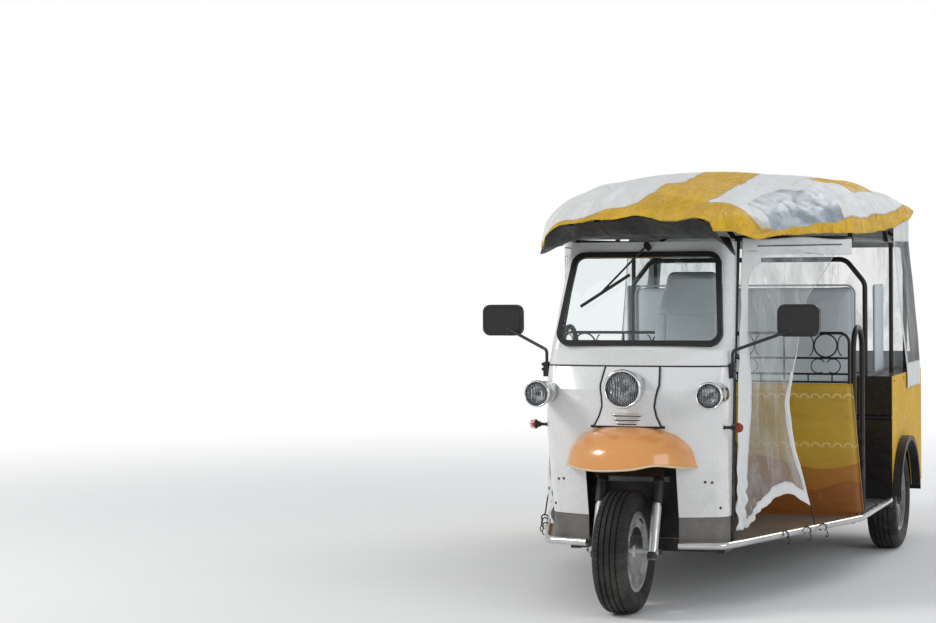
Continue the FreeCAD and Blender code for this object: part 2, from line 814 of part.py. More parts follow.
def dashboard():
    """Shelf behind the cowl between the cab pillars, notched for the steering stem."""
    half = pillar_path()[1].x - pillar_radius - 3 * seat_gap
    rear = cowl_rear + pillar_radius
    shelf = box(-half, half, rear - 84.0, rear, dash_top - 90.0, dash_top)
    inner = box(-half + 12.0, half - 12.0, rear - 140.0, rear - 10.0, dash_top - 100.0, dash_top - 10.0)
    stem_way = box(-52.0, 52.0, 150.0, rear + 10.0, dash_top - 110.0, dash_top + 10.0)
    back = box(-52.0, 52.0, rear + 52.0, rear + 60.0, dash_top - 90.0, dash_top)
    cheeks = [box(x, x + 8.0, rear - 10.0, rear + 60.0, dash_top - 90.0, dash_top) for x in (-60.0, 52.0)]
    return fused([shelf.cut(inner).cut(stem_way), back] + cheeks)


def driver_seat_box():
    """Pressed seat stand with a stay up the back of the seat."""
    half = seat_half - 15.0
    outer = box(-half, half, seat_front + 25.0, seat_rear, floor_top, seat_box_top)
    inner = box(-half + sheet, half - sheet, seat_front + 25.0 + sheet, seat_rear - sheet,
                floor_top - 10.0, seat_box_top - sheet)
    stay = box(-60.0, 60.0, seat_rear, seat_rear + 8.0, seat_box_top - 200.0, seat_box_top + 420.0)
    return fused([outer.cut(inner), stay])


def driver_cushion():
    low = seat_box_top + seat_gap
    high = low + cushion_thickness
    points = [
        V(-seat_half, seat_front, low), V(-seat_half, seat_rear, low),
        V(-seat_half, seat_rear, high), V(-seat_half, seat_front, high),
    ]
    return slab(points, V(2 * seat_half, 0, 0), 34.0)


def driver_back():
    """High backrest, narrower at the head, leaning back."""
    low = seat_box_top + cushion_thickness + 2 * seat_gap
    outline = [
        V(-205, 0, low), V(205, 0, low), V(212, 0, low + 420.0), V(120, 0, seat_back_top),
        V(-120, 0, seat_back_top), V(-212, 0, low + 420.0),
    ]
    back = Part.Face(rounded_wire(outline, 60.0, True)).extrude(V(0, seat_back_thickness, 0))
    back.translate(V(0, seat_rear - seat_back_thickness - seat_gap, 0))
    return back


def partition():
    """Padded board behind the driver, tapering to its top, notched over the side tubes."""
    half = body_half_width - 2.0
    tube_top = side_tube_z + side_tube_radius + seat_gap
    notch = side_path[3][0] - side_tube_radius - seat_gap
    right = [
        V(notch, partition_y, floor_top), V(notch, partition_y, tube_top), V(half, partition_y, tube_top),
        V(partition_top_half, partition_y, partition_top),
    ]
    left = [V(-p.x, p.y, p.z) for p in reversed(right)]
    return slab(right + left, V(0, partition_thickness, 0))


def rack():
    """Wire guard on the partition: frame, rails and ring ornaments."""
    y = partition_y + partition_thickness / 2
    low = partition_top
    frame_points = [
        V(-rack_half, y, low), V(-rack_half, y, rack_top), V(rack_half, y, rack_top), V(rack_half, y, low),
    ]
    parts = [bent_rod(frame_points, rack_tube, 45.0)]
    for z in rack_levels:
        parts.append(rod(V(-rack_half, y, z), V(rack_half, y, z), rack_tube - 2.0))
    ring_radius = (rack_top - rack_levels[2]) / 2 - 1.0
    ring_z = (rack_levels[2] + rack_top) / 2
    for x in (-rack_ring_x, -rack_ring_x / 3, rack_ring_x / 3, rack_ring_x):
        start, end = V(x, y - 3.0, ring_z), V(x, y + 3.0, ring_z)
        parts.append(hollow_rod(start, end, ring_radius, ring_radius - 7.0))
    for x in (-rack_ring_x * 2 / 3, 0.0, rack_ring_x * 2 / 3):
        parts.append(rod(V(x, y, low), V(x, y, rack_top), rack_tube - 2.0))
    return fused(parts)


def grab_hoop(side):
    """Black handrail beside the partition: one foot on it, the other on the floor."""
    x = partition_top_half - 4.0
    front = partition_y + partition_thickness + 16.0
    rear = front + hoop_length
    route = ((front, floor_top), (front, hoop_top), (rear, hoop_top), (rear, floor_top))
    shape = bent_rod([V(x, y, z) for y, z in route], hoop_radius, hoop_bend)
    return shape if side > 0 else mirrored(shape)


def bench_box():
    """Hollow base of the passenger bench."""
    outer = box(-bench_half, bench_half, bench_front, floor_rear - 1.0, floor_top, bench_box_top)
    inner = box(-bench_half + sheet, bench_half - sheet, bench_front + sheet, floor_rear - 1.0 - sheet,
                floor_top - 10.0, bench_box_top - sheet)
    return outer.cut(inner)


def bench_cushion():
    low = bench_box_top + seat_gap
    x = -bench_half
    points = [
        V(x, bench_front - 30.0, low), V(x, backrest_y - seat_gap, low),
        V(x, backrest_y - seat_gap, bench_cushion_top),
        V(x, bench_front - 30.0, bench_cushion_top),
    ]
    return slab(points, V(2 * bench_half, 0, 0), 40.0)


def bench_back():
    low = bench_box_top + 30.0
    outline = [
        V(-bench_half, backrest_y, low), V(bench_half, backrest_y, low),
        V(bench_half, backrest_y, backrest_top), V(-bench_half, backrest_y, backrest_top),
    ]
    return slab(outline, V(0, backrest_thickness, 0), 46.0)


def roll_hoop():
    """Hoop behind the backrest, leaning inward at its shoulders."""
    y = backrest_y + backrest_thickness + hoop_radius + seat_gap
    high = backrest_top + roll_hoop_rise
    right = ((roll_hoop_half, console_top), (roll_hoop_half, backrest_top), (roll_hoop_half - 100.0, high))
    route = [(-px, pz) for px, pz in right] + list(reversed(right))
    return bent_rod([V(px, y, pz) for px, pz in route], hoop_radius, 70.0)


def wheel_box(side):
    """Wheel box beside the bench: inner wall, front wall and top, open outward to the wheel."""
    x0, x1 = console_inner, body_half_width - sheet
    outer = box(x0, x1, floor_rear, tail_y, floor_top - 40.0, console_top)
    inner = box(x0 + sheet, x1 + 10.0, floor_rear + sheet, tail_y - sheet,
                floor_top - 60.0, console_top - sheet)
    axle_way = rod(V(x0 - 20.0, wheelbase, tyre_radius), V(x0 + 60.0, wheelbase, tyre_radius), 62.0)
    axle_slot = box(x0 - 20.0, x0 + 60.0, wheelbase - 62.0, wheelbase + 62.0, 100.0, tyre_radius)
    ridge = rod(V(x0, floor_rear, 700.0), V(x1, floor_rear, 700.0), 14.0)
    front_ridge = ridge.common(box(x0, x1, floor_rear - 20.0, floor_rear, 600.0, 800.0))
    shape = fused([outer.cut(inner).cut(axle_way).cut(axle_slot), front_ridge])
    return shape if side > 0 else mirrored(shape)


def quarter_panel(side):
    """Painted outer side of the rear body with its wheel arch."""
    x = body_half_width - sheet
    outline = [
        V(x, floor_rear, panel_low), V(x, tail_y, panel_low),
        V(x, tail_y, console_top), V(x, floor_rear, console_top),
    ]
    panel = slab(outline, V(sheet, 0, 0))
    arch = rod(V(x - 10.0, wheelbase, tyre_radius), V(x + 20.0, wheelbase, tyre_radius), arch_radius)
    shape = panel.cut(arch)
    return shape if side > 0 else mirrored(shape)


def fender_flare(side):
    """Rubber flare round the rear wheel arch."""
    x = body_half_width
    centre = V(x, wheelbase, tyre_radius)
    end = V(x + flare_out, wheelbase, tyre_radius)
    past = V(5.0, 0, 0)
    ring = rod(centre, end, arch_radius + flare_tube).cut(rod(centre - past, end + past, arch_radius))
    shape = ring.common(box(x, x + flare_out, floor_rear - 50.0, tail_y, panel_low, console_top))
    return shape if side > 0 else mirrored(shape)


def side_pad(side):
    """Padded side board above the console."""
    shape = box(side_pad_x, side_pad_x + side_pad_thickness, side_pad_front, side_pad_rear,
                console_top, backrest_top)
    return shape if side > 0 else mirrored(shape)


def rear_tub():
    """Wheel boxes welded to the luggage floor, which lies on the raised rails over the axle."""
    deck = box(-console_inner - 1.0, console_inner + 1.0, floor_rear + 5.0, tail_y, rear_rail_top,
               rear_rail_top + sheet)
    return fused([deck, wheel_box(1), wheel_box(-1)])


def tail_panel():
    """Painted rear board with holes for the number plate."""
    panel = box(-body_half_width, body_half_width, tail_y, tail_y + sheet, panel_low, tail_panel_top)
    for x in (-plate_bolt_half, plate_bolt_half):
        front = V(x, tail_y - 10.0, plate_bolt_height)
        panel = panel.cut(rod(front, front + V(0, 30.0, 0), bolt_radius))
    return panel


def tail_lamp(side):
    face = tail_y + sheet
    high = V(tail_lamp_x, face, tail_lamp_height)
    low = high - V(0, 0, tail_lamp_drop)
    base = box(tail_lamp_x - 20.0, tail_lamp_x + 20.0, face, face + 12.0, low.z, high.z)
    shape = fused([rod(high, high + V(0, 38.0, 0), 52.0), rod(low, low + V(0, 34.0, 0), 44.0), base])
    return shape if side > 0 else mirrored(shape)


def rear_bumper():
    """Tube bumper on two arms from the rails, with the towing eye in the middle."""
    y = tail_y + bumper_reach
    z = rear_rail_bottom + 22.0
    half = bumper_half
    ends = ((-half, y - 50.0), (60.0 - half, y), (half - 60.0, y), (half, y - 50.0))
    parts = [bent_rod([V(px, py, z) for px, py in ends], bumper_tube, 60.0)]
    for x in (-rail_x, rail_x):
        parts.append(box(x - 18.0, x + 18.0, tail_y + sheet + seat_gap, y, z - 14.0, z + 14.0))
    eye_y = y + bumper_tube + eye_radius + 6.0
    parts.append(box(-30.0, 30.0, y, eye_y + eye_radius + 8.0, z - 6.0, z + 6.0))
    bore = rod(V(0, eye_y, z - 20.0), V(0, eye_y, z + 20.0), eye_radius)
    return fused(parts).cut(bore)


def rear_axle():
    """Live axle: tube, bell housing, brake drums and stub pins for the hubs."""
    z = tyre_radius
    parts = [Part.makeSphere(diff_radius, V(0, wheelbase, z))]
    for side in (1, -1):
        tip = side * (rear_track_half + hub_length / 2 + 14.0)
        inner, outer = side * drum_inner, side * drum_outer
        parts.append(rod(V(side * 60.0, wheelbase, z), V(inner + side * 8.0, wheelbase, z), axle_tube_radius))
        parts.append(rod(V(inner, wheelbase, z), V(tip, wheelbase, z), axle_pin_radius))
        parts.append(rod(V(inner, wheelbase, z), V(outer, wheelbase, z), drum_radius))
    axle = fused(parts)
    return axle.cut(box(-200.0, 200.0, wheelbase + motor_front, wheelbase + 200.0, 0.0, 600.0))


def drive_motor():
    """Drive motor behind the axle housing, as one block hung from the raised rails."""
    front = wheelbase + motor_front
    motor = box(-130.0, 130.0, front, front + motor_length, 205.0, rear_rail_bottom - 2.0)
    edge = rail_x - rail_width / 2 - seat_gap
    hanger = box(-edge, edge, front + 70.0, front + 110.0, rear_rail_bottom - 12.0, rear_rail_bottom + 14.0)
    return fused([motor, hanger])


def leaf_spring(side):
    """Leaf pack over the axle with its front pin and rear shackle on the rail's outer face."""
    x = rail_x + rail_width / 2 + 16.0
    low = tyre_radius + axle_tube_radius + seat_gap
    parts = []
    for half, level in ((spring_half, 2), (spring_half * 0.72, 1), (spring_half * 0.45, 0)):
        middle = V(x, wheelbase, low + leaf_thickness * level)
        lift = V(0, 0, spring_camber * (half / spring_half) ** 2)
        front, rear = middle - V(0, half, 0) + lift, middle + V(0, half, 0) + lift
        up = V(0, 0, leaf_thickness)
        wire = Part.Wire([
            Part.Arc(front, middle, rear).toShape(),
            Part.LineSegment(rear, rear + up).toShape(),
            Part.Arc(rear + up, middle + up, front + up).toShape(),
            Part.LineSegment(front + up, front).toShape(),
        ])
        parts.append(Part.Face(wire).extrude(V(spring_width, 0, 0)))
    eye_z = low + 2.5 * leaf_thickness + spring_camber
    face = rail_x + rail_width / 2
    rear_y = wheelbase + spring_half
    for y in (wheelbase - spring_half, rear_y):
        parts.append(rod(V(face, y, eye_z), V(x + spring_width, y, eye_z), 13.0))
    parts.append(box(face, face + 12.0, rear_y - 16.0, rear_y + 16.0, eye_z - 8.0, rear_rail_bottom + 40.0))
    shape = fused(parts)
    return shape if side > 0 else mirrored(shape)


def tyre_solid():
    """Hollow tyre turned about the X axis at the origin."""
    half = tyre_width / 2
    bead_half = rim_width / 2 - rim_wall
    tread_half = half * 0.74
    middle = (tyre_radius + bead_radius) / 2
    shoulder = V(half * 0.92, tyre_radius - 26.0, 0)
    bulge = V(half, middle + 6.0, 0)
    bead = V(bead_half, bead_radius, 0)
    heel = V(bead_half, flange_radius + 3.0, 0)
    crown = V(tread_half, tyre_radius - 4.0, 0)
    bore = [
        V(bead_half - 16.0, bead_radius, 0), V(bead_half - 12.0, flange_radius + 7.0, 0),
        V(half - tyre_wall, middle - 3.0, 0), V(half - tyre_wall, middle + 17.0, 0),
        V(tread_half - 8.0, tyre_radius - 18.0, 0),
    ]

    def other(p):
        return V(-p.x, p.y, p.z)

    inside = [other(p) for p in bore] + bore[::-1]
    edges = [
        Part.LineSegment(bead, heel).toShape(),
        Part.Arc(heel, bulge, shoulder).toShape(),
        Part.LineSegment(shoulder, crown).toShape(),
        Part.Arc(crown, V(0, tyre_radius, 0), other(crown)).toShape(),
        Part.LineSegment(other(crown), other(shoulder)).toShape(),
        Part.Arc(other(shoulder), other(bulge), other(heel)).toShape(),
        Part.LineSegment(other(heel), other(bead)).toShape(),
        Part.LineSegment(other(bead), inside[0]).toShape(),
        Part.LineSegment(inside[-1], bead).toShape(),
    ]
    edges += [Part.LineSegment(a, b).toShape() for a, b in zip(inside, inside[1:])]
    outline = Part.Wire(Part.__sortEdges__(edges))
    return Part.Face(outline).revolve(V(0, 0, 0), V(1, 0, 0), 360)


def rim_solid():
    """Cast rim with split spokes, outer face towards +X, bored for its axle."""
    half = rim_width / 2
    profile = [
        V(-half, flange_radius, 0), V(rim_wall - half, flange_radius, 0), V(rim_wall - half, bead_radius, 0),
        V(half - rim_wall, bead_radius, 0), V(half - rim_wall, flange_radius, 0), V(half, flange_radius, 0),
        V(half, bead_radius - rim_wall, 0), V(-half, bead_radius - rim_wall, 0),
    ]
    barrel = Part.Face(polygon(profile)).revolve(V(0, 0, 0), V(1, 0, 0), 360)
    hub = rod(V(-hub_length / 2, 0, 0), V(hub_length / 2, 0, 0), hub_radius)
    face_x = half - 14.0
    spokes = []
    reach = bead_radius - rim_wall / 2
    thin = spoke_width / 4
    for i in range(spoke_count):
        for twist in (-9.0, 9.0):
            spoke = box(face_x - spoke_depth, face_x, -thin, thin, hub_radius - 8.0, reach)
            spoke.rotate(V(0, 0, 0), V(1, 0, 0), 360.0 / spoke_count * i + twist)
            spokes.append(spoke)
    bore = rod(V(-hub_length, 0, 0), V(hub_length, 0, 0), axle_pin_radius + running_clearance)
    return fused([barrel, hub] + spokes).cut(bore)


def placed(shape, x, y, z, flip=False):
    copy = shape.copy()
    if flip:
        copy = mirrored(copy)
    copy.translate(V(x, y, z))
    return copy


def brake_disc():
    """Front brake disc on the hub's left face."""
    x = hub_length / 2
    disc = rod(V(x, 0, 0), V(x + disc_thickness, 0, 0), disc_radius)
    carrier = rod(V(x, 0, 0), V(x + 10.0, 0, 0), 40.0)
    bore = rod(V(x - 5.0, 0, 0), V(x + 20.0, 0, 0), axle_pin_radius + running_clearance)
    return placed(fused([disc, carrier]).cut(bore), 0, 0, tyre_radius)


def fork():
    """Steering fork: stem, yoke, two sprung legs and the wheel spindle."""
    axle = V(0, 0, tyre_radius)
    lean = steer_dir
    yoke_low = steer_point(yoke_bottom)
    # Distance from the axle to the yoke's underside, along the legs.
    leg_length = (yoke_low - axle).dot(lean)
    offset = axle + lean * leg_length - yoke_low
    parts = []
    for side in (1, -1):
        centre = axle + V(side * fork_leg_half_spacing, 0, 0)
        top = centre + lean * (leg_length + yoke_thickness + 6.0)
        parts.append(rod(centre - lean * 30.0, centre + lean * (leg_length * 0.62), fork_leg_radius + 4.0))
        parts.append(rod(centre + lean * 60.0, top, fork_leg_radius))
    half = fork_leg_half_spacing + 30.0
    plate = Part.makeBox(2 * half, 100.0, yoke_thickness, V(-half, -30.0, 0))
    plate.rotate(V(0, 0, 0), V(1, 0, 0), -rake_degrees)
    plate.translate(yoke_low + offset)
    parts.append(plate)
    parts.append(rod(yoke_low + lean * 5.0, steer_point(handlebar_height - 40.0), stem_radius))
    spindle_half = fork_leg_half_spacing + fork_leg_radius + 12.0
    parts.append(rod(axle - V(spindle_half, 0, 0), axle + V(spindle_half, 0, 0), axle_pin_radius))
    return fused(parts)


def handlebar():
    """Swept-back bar clamped on top of the stem."""
    base = steer_point(handlebar_height - 40.0)
    clamp = rod(base, base + steer_dir * 42.0, 26.0)
    centre = base + steer_dir * 28.0
    back = V(0, math.cos(rake), -math.sin(rake))
    points = []
    for x, along, up in ((-325.0, 165.0, 6.0), (-170.0, 118.0, 16.0), (-70.0, 8.0, 10.0), (70.0, 8.0, 10.0),
                         (170.0, 118.0, 16.0), (325.0, 165.0, 6.0)):
        points.append(centre + V(x, 0, 0) + back * along + steer_dir * up)
    return fused([clamp, bent_rod(points, handlebar_radius, 60.0)])


def grips():
    """Rubber grips on the bar's ends."""
    base = steer_point(handlebar_height - 40.0) + steer_dir * 28.0
    back = V(0, math.cos(rake), -math.sin(rake))
    shapes = []
    for side in (1, -1):
        end = base + V(side * 325.0, 0, 0) + back * 165.0 + steer_dir * 6.0
        start = base + V(side * 170.0, 0, 0) + back * 118.0 + steer_dir * 16.0
        direction = (end - start).normalize()
        outer = rod(end - direction * 112.0, end + direction * 8.0, grip_radius)
        bore = rod(end - direction * 120.0, end, handlebar_radius)
        shapes.append(outer.cut(bore))
    return shapes


tyre = tyre_solid()
rim = rim_solid()

nodes = {
    "chassis_frame": chassis_frame(),
    "floor_pan": floor_pan(),
    "front_cowl": front_cowl(),
    "screen_panel": screen_panel(),
    "windscreen_seal": windscreen_seal(),
    "windscreen_glass": windscreen_glass(),
    "nose_panel": nose_panel(),
    "headlamp": headlamp(),
    "mudguard": mudguard(),
    "wheelhouse": wheelhouse(),
    "wiper": wiper(),
    "roof_frame": roof_frame(),
    "canopy": canopy(),
    "rear_cover": rear_cover(),
    "dashboard": dashboard(),
    "driver_seat_box": driver_seat_box(),
    "driver_cushion": driver_cushion(),
    "driver_back": driver_back(),
    "partition": partition(),
    "rack": rack(),
    "bench_box": bench_box(),
    "bench_cushion": bench_cushion(),
    "bench_back": bench_back(),
    "roll_hoop": roll_hoop(),
    "rear_tub": rear_tub(),
    "tail_panel": tail_panel(),
    "rear_bumper": rear_bumper(),
    "rear_axle": rear_axle(),
    "drive_motor": drive_motor(),
    "fork": fork(),
    "handlebar": handlebar(),
    "grips": Part.makeCompound(grips()),
    "front_tyre": placed(tyre, 0, 0, tyre_radius),
    "front_rim": placed(rim, 0, 0, tyre_radius),
    "brake_disc": brake_disc(),
}

# Small fixed pieces that come in a matched pair share a node.
pairs = {
    "skirts": skirt,
    "side_lamps": side_lamp,
    "indicators": indicator,
    "mirrors": mirror,
    "side_tubes": side_tube,
    "front_curtains": front_curtain,
    "quarter_panels": quarter_panel,
    "grab_hoops": grab_hoop,
    "side_pads": side_pad,
    "fender_flares": fender_flare,
    "tail_lamps": tail_lamp,
    "leaf_springs": leaf_spring,
}
for name, make in pairs.items():
    nodes[name] = Part.makeCompound([make(1), make(-1)])

for name, side in (("left", 1), ("right", -1)):
    nodes["rear_tyre_" + name] = placed(tyre, side * rear_track_half, wheelbase, tyre_radius)
    nodes["rear_rim_" + name] = placed(rim, side * rear_track_half, wheelbase, tyre_radius, side < 0)

os.makedirs("parts", exist_ok=True)
for name, shape in nodes.items():
    placed(shape, 0, -mid_y, 0).exportStep("parts/" + name + ".step")
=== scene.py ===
import math
import bpy
import numpy as np
from mathutils import Matrix, Vector, noise


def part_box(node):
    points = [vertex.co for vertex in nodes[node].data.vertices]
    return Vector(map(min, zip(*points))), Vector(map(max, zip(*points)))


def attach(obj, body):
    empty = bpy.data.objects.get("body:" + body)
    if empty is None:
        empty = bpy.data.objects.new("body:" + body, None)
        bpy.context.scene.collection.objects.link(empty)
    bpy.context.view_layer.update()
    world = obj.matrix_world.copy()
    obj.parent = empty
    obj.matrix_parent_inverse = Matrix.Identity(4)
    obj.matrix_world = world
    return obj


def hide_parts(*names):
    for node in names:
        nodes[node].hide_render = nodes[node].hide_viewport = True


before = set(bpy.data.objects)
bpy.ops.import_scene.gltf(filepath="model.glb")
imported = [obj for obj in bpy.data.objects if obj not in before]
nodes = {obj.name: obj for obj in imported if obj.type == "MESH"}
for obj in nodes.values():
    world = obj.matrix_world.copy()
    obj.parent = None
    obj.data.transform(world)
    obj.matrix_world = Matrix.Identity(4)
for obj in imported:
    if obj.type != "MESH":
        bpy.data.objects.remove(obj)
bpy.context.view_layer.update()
MID = 1.475  # stations are metres behind the front axle; the frame's origin lies MID behind it
SIDES = (("left", 1), ("right", -1))
scene = bpy.context.scene
scene.view_settings.view_transform = "Standard"


def at(x, y, z):
    """The point in the frame for a station y."""
    return Vector((x, y - MID, z))


def placed(name, data):
    ob = bpy.data.objects.new(name, data)
    scene.collection.objects.link(ob)
    return ob


# ---------------------------------------------------------------- camera and light
scene.camera = camera = placed("view", bpy.data.cameras.new("view"))
camera.data.lens, camera.data.sensor_width = 83.234, 36.0
forward, up = Vector((-.351479, .935932, -.022222)), Vector((.000528, .023935, .999713))
turned = Matrix((forward.cross(up), up, -forward)).transposed().to_4x4()
camera.matrix_world = Matrix.Translation((2.6289, -10.3513, 1.5021)) @ turned

for name, place, aim, size, power, colour in (
        ("key", (-6.8, -5.2, 6.2), (0, 0, .9), (2.4, 2.4), 330, (1, .975, .94)),
        ("fill", (6.5, -4.0, 3.2), (0, 0, .9), (4, 3), 100, (.97, .98, 1)),
        ("back", (3.0, 6.5, 5.5), (0, 0, 1.2), (5, 3), 150, (1, 1, 1))):
    light = bpy.data.lights.new(name, "AREA")
    light.shape, light.size, light.size_y = "RECTANGLE", *size
    light.energy, light.color = power, colour
    ob = placed(name, light)
    ob.location = place
    ob.rotation_euler = (Vector(aim) - Vector(place)).to_track_quat("-Z", "Y").to_euler()


# ---------------------------------------------------------------- materials
M = {}


class Shade:
    """One procedural material; its helpers give sockets, and numbers or colours stand for themselves."""

    def __init__(self, name, world=None):
        if world is None:
            M[name] = bpy.data.materials.new(name)
        owner = world or M[name]
        owner.use_nodes = True
        self.tree = owner.node_tree
        self.tree.nodes.clear()
        self.place = self.node("TexCoord").outputs["Object"]

    def node(self, kind, settings=None, **sockets):
        made = self.tree.nodes.new("ShaderNode" + kind)
        for key, value in (settings or {}).items():
            setattr(made, key, value)
        for key, value in sockets.items():
            self.put(made.inputs[key.replace("_", " ")], value)
        return made

    def put(self, socket, value):
        if isinstance(value, bpy.types.NodeSocket):
            self.tree.links.new(value, socket)
        elif isinstance(value, (tuple, list)) and len(value) == 3 and socket.type == "RGBA":
            socket.default_value = (*value, 1)
        else:
            socket.default_value = value

    def filled(self, made, result, *values):
        """The node's result, with its first inputs filled in their order; None leaves one out."""
        for socket, value in zip(made.inputs, values):
            if value is not None:
                self.put(socket, value)
        return made.outputs[result]

    def math(self, operation, a, b=0.0, clamp=False):
        return self.filled(self.node("Math", {"operation": operation, "use_clamp": clamp}), 0, a, b)

    def times(self, a, b):
        return self.math("MULTIPLY", a, b)

    def plus(self, a, b):
        return self.math("ADD", a, b)

    def minus(self, a, b):
        return self.math("SUBTRACT", a, b)

    def apart(self, a, b):
        return self.math("ABSOLUTE", self.minus(a, b))

    def stretched(self, scale, turn=(0, 0, 0)):
        return self.node("Mapping", None, Vector=self.place, Scale=scale, Rotation=turn).outputs[0]

    def noise(self, scale, detail=4.0, rough=.55, stretch=None, warp=0.0):
        where = self.stretched(stretch) if stretch else self.place
        return self.node("TexNoise", None, Vector=where, Scale=scale, Detail=detail, Roughness=rough,
                         Distortion=warp).outputs["Fac"]

    def wave(self, direction, scale):
        return self.node("TexWave", {"wave_type": "BANDS", "bands_direction": direction}, Vector=self.place,
                         Scale=scale).outputs["Fac"]

    def grain(self, scale, strength):
        """Leather-like cells as a bump."""
        cells = self.node("TexVoronoi", {"feature": "DISTANCE_TO_EDGE"}, Vector=self.place, Scale=scale).outputs[0]
        return self.bump(self.ramp(cells, 0, .12), strength, .0006)

    def ramp(self, value, low, high, to_low=0.0, to_high=1.0):
        made = self.node("MapRange", {"interpolation_type": "SMOOTHSTEP"})
        return self.filled(made, 0, value, low, high, to_low, to_high)

    def patchy(self, scale, low, high, detail=4.0, rough=.55):
        """A value that wanders between low and high."""
        return self.ramp(self.noise(scale, detail, rough), .3, .7, low, high)

    def mix(self, share, a, b):
        made = self.node("Mix", {"data_type": "RGBA"})
        return self.filled(made, 2, share, *[None] * 5, a, b)

    def over(self, share, strength, under, colour):
        return self.mix(self.times(share, strength), under, colour)

    def blended(self, share, a, b):
        return self.filled(self.node("MixShader"), 0, share, a, b)

    def axis(self, index):
        return self.node("SeparateXYZ", None, Vector=self.place).outputs[index]

    def attribute(self, name):
        return self.node("Attribute", {"attribute_name": name}).outputs["Fac"]

    def bump(self, height, strength, distance, under=None):
        made = self.node("Bump", None, Height=height, Strength=strength, Distance=distance)
        if under is not None:
            self.put(made.inputs["Normal"], under)
        return made.outputs[0]

    def surface(self, fixed=None, **sockets):
        made = self.node("BsdfPrincipled", None, **sockets)
        for key, value in (fixed or {}).items():
            self.put(made.inputs[key], value)
        return made.outputs[0]

    def done(self, shader, kind="OutputMaterial"):
        self.tree.links.new(shader, self.node(kind).inputs["Surface"])


def toned(colour, factor):
    """The colour made lighter or darker."""
    return tuple(min(1, c * factor) for c in colour)


def dusty(s, colour, amount, top=1.0, tint=(.40, .35, .28)):
    """Colour with road dust that thickens towards the ground in uneven patches, and the dust's share."""
    low = s.ramp(s.axis(2), .12, top, 1, 0)
    patch = s.ramp(s.noise(7, 6, .65), .38, .72)
    share = s.math("MULTIPLY", s.times(low, patch), amount, True)
    return s.mix(share, colour, tint), share


def varied(s, colour, vary, patch=3.0):
    """Colour with broad and fine uneven tone."""
    dark = toned(colour, 1 - vary)
    tone = s.mix(s.patchy(patch, 0, 1, 5, .6), dark, toned(colour, 1 + vary))
    return s.over(s.ramp(s.noise(55, 5, .6), .35, .65), .35, tone, dark)


def paint(name, colour, rough=.35, metal=0.0, coat=0.0, vary=.07, dust=.3, top=1.0, grain=(350, .04),
          dent=0.0, streak=0.0, specular=.5, upper=None):
    """Painted or plated metal; upper gives a height and the flat colour above it."""
    s = Shade(name)
    tone = varied(s, colour, vary)
    if streak:
        lines = s.ramp(s.noise(9, 5, .6, (9, 9, .8)), .52, .75)
        tone = s.over(lines, streak, tone, toned(colour, .45))
    tone, share = dusty(s, tone, dust, top)
    uneven = s.patchy(22, rough * .8, min(1, rough * 1.3), 4, .6)
    normal = s.bump(s.noise(grain[0], 3, .6), grain[1], .002)
    if dent:
        normal = s.bump(s.noise(5, 3, .5), dent, .02, normal)
    if upper:
        height, tint = upper
        tone = s.mix(s.ramp(s.axis(2), height - .003, height + .003), tone, tint)
        metal = s.ramp(s.axis(2), height - .003, height + .003, metal, 0)
    s.done(s.surface({"Coat Weight": coat, "Coat Roughness": .08, "Specular IOR Level": specular}, Base_Color=tone,
                     Metallic=metal, Roughness=s.math("ADD", uneven, s.times(share, .35), True), Normal=normal))


def vinyl(name, colour, rough=.42, grain=900, crease=.25):
    """Soft coated upholstery: leather-like grain, broad creases and rubbed, slightly soiled high spots."""
    s = Shade(name)
    soil = s.ramp(s.noise(11, 6, .7), .55, .8)
    tone = s.over(soil, .25, varied(s, colour, .05, 5), toned(colour, .72))
    normal = s.bump(s.noise(14, 5, .55, (1, 1, 1), 1.2), crease, .006, s.grain(grain, .18))
    s.done(s.surface({"Sheen Weight": .08, "Sheen Roughness": .4}, Base_Color=dusty(s, tone, .12, .9)[0],
                     Roughness=s.patchy(30, rough * .85, rough * 1.25, 4, .6), Normal=normal))


def rubber(name, colour, rough, dust, top):
    """Matt rubber, dusty towards the ground."""
    s = Shade(name)
    tone = dusty(s, varied(s, colour, .25, 8), dust, top, (.30, .27, .23))[0]
    s.done(s.surface({"Specular IOR Level": .35}, Base_Color=tone, Normal=s.bump(s.noise(500, 4, .6), .12, .001),
                     Roughness=s.patchy(25, rough * .85, min(1, rough * 1.25))))


def clear(name, tint):
    """Clear glass with a film of dust and slight waves."""
    s = Shade(name)
    s.done(s.surface({"Transmission Weight": 1.0, "IOR": 1.45}, Base_Color=tint,
                     Roughness=s.ramp(s.noise(16, 6, .7), .45, .8, 0, .12),
                     Normal=s.bump(s.noise(12, 3, .5), .01, .01)))


def tread_plate(name):
    """Rolled aluminium sheet with raised bars in alternating directions."""
    s = Shade(name)
    heights = []
    for turn, shift in ((.785, 0.0), (-.785, .5)):
        split = s.node("SeparateXYZ", None, Vector=s.stretched((34, 34, 34), (0, 0, turn))).outputs
        fx, fy = [s.apart(s.math("FRACT", s.plus(split[k], shift)), .5) for k in (0, 1)]
        heights.append(s.times(s.ramp(fx, .10, .2, 1, 0), s.ramp(fy, .3, .44, 1, 0)))
    bars = s.math("MAXIMUM", *heights)
    tone = s.over(bars, .4, (.34, .34, .34), (.62, .62, .61))
    tone = s.over(s.ramp(s.noise(6, 6, .7), .35, .7), .4, tone, (.27, .255, .235))
    s.done(s.surface({"Metallic": .75}, Base_Color=tone, Normal=s.bump(bars, .5, .002),
                     Roughness=s.patchy(20, .32, .55)))


